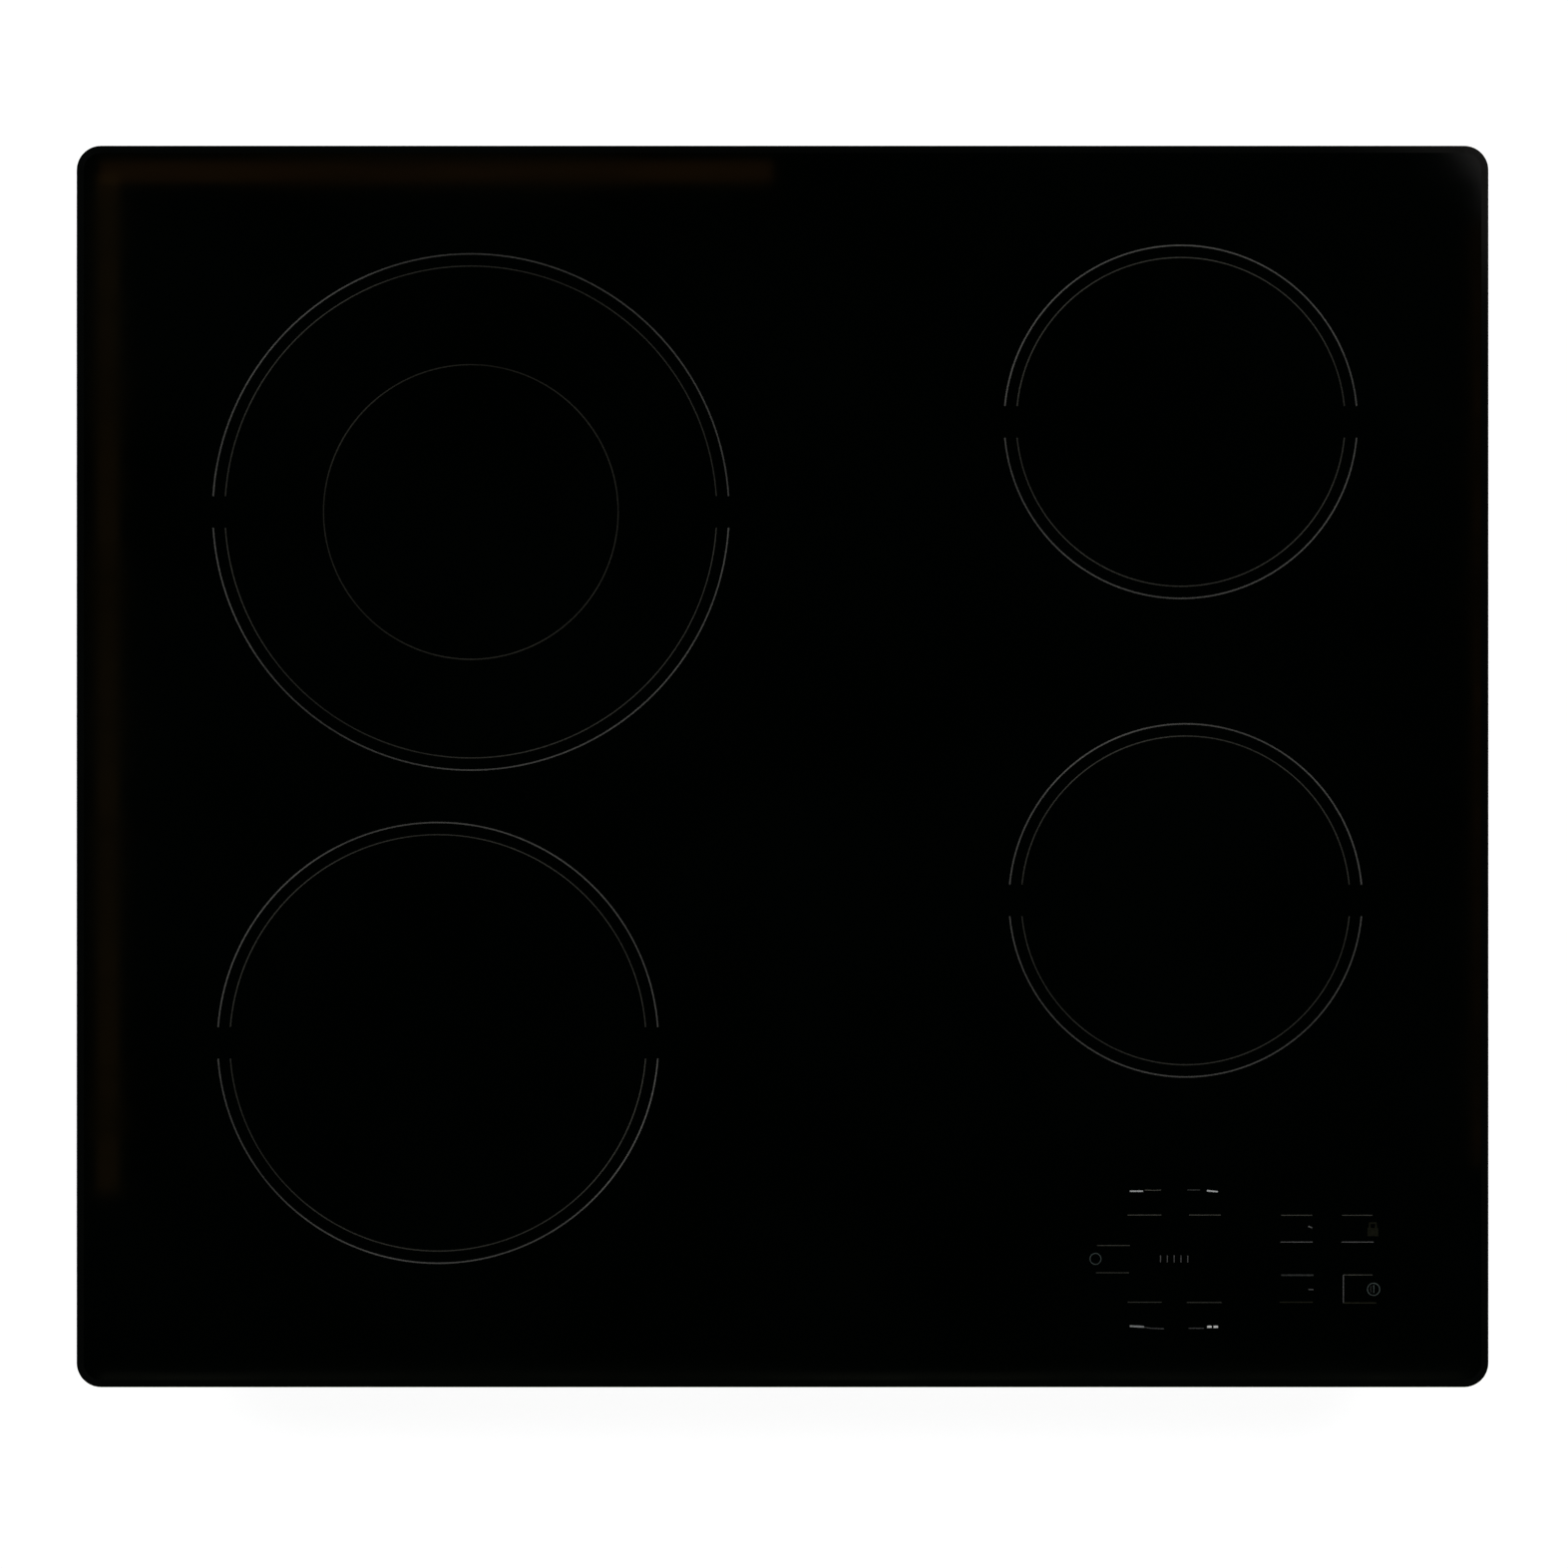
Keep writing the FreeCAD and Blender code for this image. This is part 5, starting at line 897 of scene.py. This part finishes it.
def power_board_parts(side):
    """The parts between the transistors, chokes and film capacitors of a power board."""
    board = f"{side}_power_board"
    low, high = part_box(board)
    z = high.z
    sign = math.copysign(1, low.x + high.x)
    inner, outer = min(abs(low.x), abs(high.x)), max(abs(low.x), abs(high.x))
    centre = (inner + outer) / 2
    shape = Shape()
    taken = [box for node in ("power_transistors", "filter_capacitors", "filter_chokes")
             for box in islands(node) if box[0].x * sign > 0]
    for y in (24, 50):
        taken.append(can(shape, sign * (centre + 8 * MM), y * MM, z, CAN_RADIUS, CAN_TALL))
    for paint, start, x, y, size, bevel in BOARD_PARTS:
        x = sign * ((inner, centre)[start] + x * MM)
        taken.append(block_part(shape, paint, x, y * MM, z, size, bevel * MM))
    for x, y, half, legs in ((30, -68, 5, 12), (22, -20, 3, 5)):
        taken.append(chip(shape, sign * (inner + x * MM), y * MM, z, half * MM, legs))
    for inset, y in ((18, 64), (18, -108), *(((38, 64),) if sign < 0 else ())):
        taken += lead_tabs(shape, sign * (outer - inset * MM), y * MM, z)
    ring = []
    for i in range(CHOKE_STEPS + 1):
        ring_x, ring_z = around((sign * (centre + 6 * MM), z + 9 * MM), CHOKE_RING, i / CHOKE_STEPS)
        ring.append((ring_x, CHOKE_Y, ring_z))
    shape.paint("choke_tape").tube(ring, CHOKE_ROD, 12, caps=False)
    taken.append(box_round(sign * centre + 6 * MM, CHOKE_Y, z, 15 * MM, 4 * MM))
    scatter(shape, board, taken, 70)
    shape.finish(f"{side}_board_parts", "component_black")


def control_board_parts():
    """The controller chip, a connector and the small parts round the touch pads and displays."""
    low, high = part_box("control_board")
    shape = Shape()
    taken = islands("touch_pads") + islands("displays")
    taken.append(chip(shape, high.x - 48 * MM, high.y - 12 * MM, high.z, 4 * MM, 10))
    taken.append(block_part(shape, "terminal_moulding", low.x + RIBBON_X * MM, high.y - 4 * MM, high.z,
                            (16, 5, 3.4)))
    scatter(shape, "control_board", taken, 60)
    shape.finish("control_board_parts", "component_black")


# ---------- wiring
# All in millimetres, up to the lead itself.
COIL_LEAD, SENSOR_LEAD, MAINS_LEAD, FAN_LEAD = 1.5, 0.55, 1.5, 0.7
RIBBON_X, RIBBON_CORES, RIBBON_PITCH = 30, 10, 1.27


def smooth(points, steps=8):
    """A smooth run through points, as a Catmull-Rom curve."""
    full = [2 * points[0] - points[1], *points, 2 * points[-1] - points[-2]]
    run = []
    for a, b, c, d in zip(full, full[1:], full[2:], full[3:]):
        for t in (i / steps for i in range(steps)):
            run.append(0.5 * (2 * b + (c - a) * t + (2 * a - 5 * b + 4 * c - d) * t * t
                              + (3 * b - a - 3 * c + d) * t ** 3))
    return [*run, points[-1]]


def wiring():
    """Coil and sensor leads under the tray, the mains leads, the blower's lead and the control's ribbon."""
    shape = Shape()

    def box(node):
        return (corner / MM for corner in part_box(node))

    def lead(paint, radius, *points):
        shape.paint(paint).tube(smooth([Vector(p) * MM for p in points]), radius * MM, 8)

    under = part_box("filter_chokes")[1].z / MM + 2.4
    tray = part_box("left_heat_sink")[1].z / MM + 4.2
    for zone in ZONES:
        centre = middle(f"{zone}_coil_former") / MM
        low, high = box(f"{zone.split('_')[1]}_power_board")
        sign = math.copysign(1, centre.x)
        edge = max(abs(low.x), abs(high.x))
        tab_y = 64 if centre.y > 0 else -108
        back = math.copysign(1, tab_y)
        for inset, row in ((18, 0), (38, 1)) if zone == "rear_left" else ((18, 0),):
            for step in (-1, 1):
                x = sign * (edge - inset) + step * 4
                start_x = centre.x + step * 6
                lead("silicone_red", COIL_LEAD, (start_x, centre.y + row * 8 - 4, tray),
                     (start_x + sign * 14, centre.y + (tab_y - centre.y) * 0.25, under),
                     (x, tab_y - back * 10, under), (x, tab_y, under - 10), (x, tab_y, high.z + 7))
        for step in (-1, 1):
            x, y = sign * (edge - 70) + step, tab_y * 1.02
            lead("sensor_ceramic", SENSOR_LEAD, (centre.x + step, centre.y + 6, tray),
                 (centre.x - sign * 10 + step, centre.y + (tab_y - centre.y) * 0.4, under + 0.8),
                 (x, tab_y - back * 14, under), (x, y, under - 12), (x, y, high.z + 4))

    box_low, box_high = box("terminal_box")
    right_low, right_high = box("right_power_board")
    left_low, left_high = box("left_power_board")
    fan_low, fan_high = box("blower_housing")
    level = (box_low.z + box_high.z) / 2
    def landing(x, board, out):
        """The end of a mains lead: over a board's back edge, and down to its plug."""
        return (x, board.y + out, board.z + 12), (x, board.y - 8, board.z + 12), (x, board.y - 8, board.z + 8)

    for i, paint in enumerate(("pvc_brown", "pvc_blue", "pvc_green")):
        x = box_low.x + 18 + 8 * i
        end_x = (right_low.x + right_high.x) / 2 + 24 + 6 * i
        lead(paint, MAINS_LEAD, (x, box_low.y + 0.5, level), (x - 2, box_low.y - 22, level),
             *landing(end_x, right_high, 22))
    for i, paint in enumerate(("pvc_brown", "pvc_blue")):
        y = fan_high.y + 6 + 4 * i
        x = (left_low.x + left_high.x) / 2 - 30 - 6 * i
        lead(paint, MAINS_LEAD, (box_low.x + 3, y - 4, level), (fan_high.x + 8, y, level),
             ((fan_low.x + fan_high.x) / 2, y, level), (fan_low.x - 10, y - 4, level),
             (fan_low.x - 40, y - 50, level), *landing(x, left_high, 24))
    for i, paint in enumerate(("pvc_brown", "component_black", "pvc_grey")):
        x = left_high.x - 30 - 2.2 * i
        lead(paint, FAN_LEAD, (fan_low.x + 6, fan_low.y + 46 + 2 * i, fan_high.z + 0.8),
             (fan_low.x - 6, fan_low.y + 40 + 2 * i, level), (x, left_high.y + 10, level),
             (x, left_high.y - 6, left_high.z + 12), (x, left_high.y - 6, left_high.z + 2))

    board_low, board_high = box("control_board")
    for i in range(RIBBON_CORES):
        step = (i - (RIBBON_CORES - 1) / 2) * RIBBON_PITCH
        x = board_low.x + RIBBON_X + step
        end_x = right_low.x + 30 + step
        lead("pvc_grey", RIBBON_PITCH * 0.52, (x, board_high.y - 3, board_high.z + 2.6),
             (x, board_high.y + 6, board_high.z + 2.2), (x - 8, board_high.y + 16, board_high.z - 12),
             (end_x + 30, right_low.y - 14, right_high.z + 10), (end_x, right_low.y + 5, right_high.z + 9),
             (end_x, right_low.y + 7, right_high.z + 6))
    shape.finish("wiring", "carrier_plastic")


# ---------- floor, light and camera
FLOOR_SIZE, FLOOR_GAP = 5.0, 0.2 * MM

# The floor's colour as it lights the object; and as it is seen, with the glow that makes it white but for a
# faint shadow.
FLOOR_PLAIN, FLOOR_DIM, FLOOR_GLOW = (0.8, 0.8, 0.8, 1), (0.45, 0.45, 0.45, 1), 0.78
CAMERA_PLACE = (0.6 * MM, -7.2 * MM, 1794.6 * MM)
CAMERA_LENS = 100
LAMP_SIZE, LAMP_DISTANCE, LAMP_HEIGHT, LAMP_POWER = 1.6, 3.0, 38, 32
LAMP_TURNS = (0.10, 0.42, 0.76)
WHITE = (1, 1, 1, 1)

# The world's brightness by the height of the direction: bright walls under a dark ceiling.
SKY = ((0.0, 0.42), (0.35, 0.38), (0.6, 0.20), (0.72, 0.035), (0.84, 0.0), (1.0, 0.0))

# Gloss and glass see the white backdrop up to the first height, and less and less of it up to the second.
WALL_TOP, CEILING = 0.25, 0.5

# Soft lights round the room, as (turn, height angle in degrees, half width in degrees, brightness).
SOFT_LIGHTS = ((0.13, 32, 15, 1.3), (0.43, 31, 16, 1.3), (0.72, 31, 15, 1.1), (0.93, 30, 14, 0.8))

# Faint lights near overhead, that make the glints on the facets: bands of the slopes x/z and y/z of the
# direction, as (low x, high x, low y, high y, softness, colour), for the left, back, right and front edge,
# the back right corner and what lies beyond it.
OUT = 0.2
GLINTS = (
    (-0.1580, -0.1526, -0.0944, 0.1400, 0.0006, (0.085, 0.050, 0.016)),
    (-0.1570, -0.0026, 0.1381, 0.1431, 0.0006, (0.115, 0.055, 0.015)),
    (0.1582, 0.1605, -0.0877, 0.1290, 0.0008, (0.078, 0.036, 0.010)),
    (-0.1570, 0.1570, -0.1372, -0.1356, 0.0004, (0.085, 0.085, 0.065)),
    (0.1593, OUT, 0.1300, OUT, 0.0020, (0.11, 0.10, 0.10)),
    (0.185, 6 * OUT, 0.152, 6 * OUT, 0.010, (0.15, 0.14, 0.135)),
)

# One more across that corner: bands of the slopes' sum and of x/z, as (low, high, softness), and a colour.
CORNER_SUM, CORNER_X, CORNER_COLOUR = (0.3000, 2 * OUT, 0.0045), (0.14, OUT, 0.01), (0.26, 0.25, 0.25)


def facing(turn, height):
    """The unit vector at a turn round the room and a height in degrees."""
    rise = math.radians(height)
    return Vector(around((0, 0), math.cos(rise), turn, math.sin(rise)))


def floor():
    """A pale floor that shows white, lights the object as plain pale paint does, and is clear from below."""
    bm = bmesh.new()
    bmesh.ops.create_grid(bm, x_segments=1, y_segments=1, size=FLOOR_SIZE / 2)
    mesh = bpy.data.meshes.new("floor")
    bm.to_mesh(mesh)
    bm.free()
    material = bpy.data.materials.new("floor")
    material.use_nodes = True
    material.node_tree.nodes.clear()
    t = Tree(material.node_tree)
    rays = t.add("LightPath").outputs
    seen = t.math("MAXIMUM", rays["Is Camera Ray"], rays["Is Glossy Ray"])
    seen = t.math("MAXIMUM", seen, rays["Is Transmission Ray"])
    glow = t.add("Emission", sockets={"Strength": FLOOR_GLOW})
    lit = t.add("AddShader", t.add("BsdfDiffuse", FLOOR_DIM), glow)
    top = t.add("MixShader", seen, t.add("BsdfDiffuse", FLOOR_PLAIN), lit)
    below = t.add("NewGeometry").outputs["Backfacing"]
    t.add("OutputMaterial", t.add("MixShader", below, top, t.add("BsdfTransparent")))
    mesh.materials.append(material)
    ground = placed("floor", mesh)
    ground.location.z = cad_box[0].z - FLOOR_GAP


def world():
    """White to the camera, and low down to gloss and glass; else a room with bright walls, a dark ceiling
    and a few faint lights.
    """
    made = bpy.data.worlds.new("studio")
    made.use_nodes = True
    bpy.context.scene.world = made
    made.node_tree.nodes.clear()
    t = Tree(made.node_tree)
    direction = t.add("TexCoord").outputs["Generated"]
    x, y, z = t.add("SeparateXYZ", direction).outputs
    slope_x, slope_y = t.math("DIVIDE", x, z), t.math("DIVIDE", y, z)
    above = t.math("GREATER_THAN", z, 0.5)

    def fade(value, low, high, start, end):
        return t.spread(value, low, high, start, end, interpolation_type="SMOOTHSTEP")

    def band(value, low, high, soft):
        """One between two values, and nought beyond a soft edge at each."""
        rise = fade(value, 0.0, 1.0, low - soft, low + soft)
        return t.math("MULTIPLY", rise, fade(value, 1.0, 0.0, high - soft, high + soft))

    lights = [t.add("Background", t.ramp(z, *((height, grey(level)) for height, level in SKY)))]
    for turn, height, half, level in SOFT_LIGHTS:
        near = t.add("VectorMath", direction, facing(turn, height), operation="DOT_PRODUCT").outputs["Value"]
        strength = fade(near, 0.0, level, math.cos(math.radians(half)), 1.0)
        lights.append(t.add("Background", WHITE, strength))
    spots = [(band(slope_x, x0, x1, soft), band(slope_y, y0, y1, soft), colour)
             for x0, x1, y0, y1, soft, colour in GLINTS]
    slope_sum = t.math("ADD", slope_x, slope_y)
    spots.append((band(slope_sum, *CORNER_SUM), band(slope_x, *CORNER_X), CORNER_COLOUR))
    for across, along, colour in spots:
        strength = t.math("MULTIPLY", t.math("MULTIPLY", across, along), above)
        lights.append(t.add("Background", (*colour, 1), strength))
    room = lights[0]
    for light in lights[1:]:
        room = t.add("AddShader", room, light)

    rays = t.add("LightPath").outputs
    gloss = t.math("MAXIMUM", rays["Is Glossy Ray"], rays["Is Transmission Ray"])
    shown = t.math("MULTIPLY", gloss, fade(z, 1.0, 0.0, WALL_TOP, CEILING))
    seen = t.math("MAXIMUM", rays["Is Camera Ray"], shown)
    t.add("OutputWorld", t.add("MixShader", seen, room, t.add("Background", WHITE)))


def lamps():
    """Soft lamps for matt surfaces; gloss mirrors the room instead, so no lamp shows in the glass."""
    for i, turn in enumerate(LAMP_TURNS):
        light = bpy.data.lights.new(f"lamp_{i}", "AREA")
        light.shape = "DISK"
        light.size = LAMP_SIZE
        light.energy = LAMP_POWER
        away = facing(turn, LAMP_HEIGHT)
        lamp = placed(light.name, light)
        lamp.location = away * LAMP_DISTANCE
        lamp.rotation_euler = away.to_track_quat("Z", "Y").to_euler()
        lamp.visible_glossy = False


def camera():
    """Straight down from above, a little in front of the middle."""
    data = bpy.data.cameras.new("camera")
    data.lens = CAMERA_LENS
    data.clip_start, data.clip_end = 0.01, 100
    eye = placed("camera", data)
    eye.location = CAMERA_PLACE
    bpy.context.scene.camera = eye


# ---------- all of it
dress_cad()
zone_prints()
key_marks()
wall_screws("rail_screws")
wall_screws("clip_screws")
for node in sorted(frame["nodes"]):
    if node.endswith("winding"):
        spiral(node)
for zone in ZONES:
    coil_spring(zone)
film_capacitors()
transistors()
chokes()
terminal_fittings()
for side in ("left", "right"):
    power_board_parts(side)
control_board_parts()
wiring()
floor()
world()
lamps()
camera()

bpy.context.scene.view_settings.view_transform = "Standard"
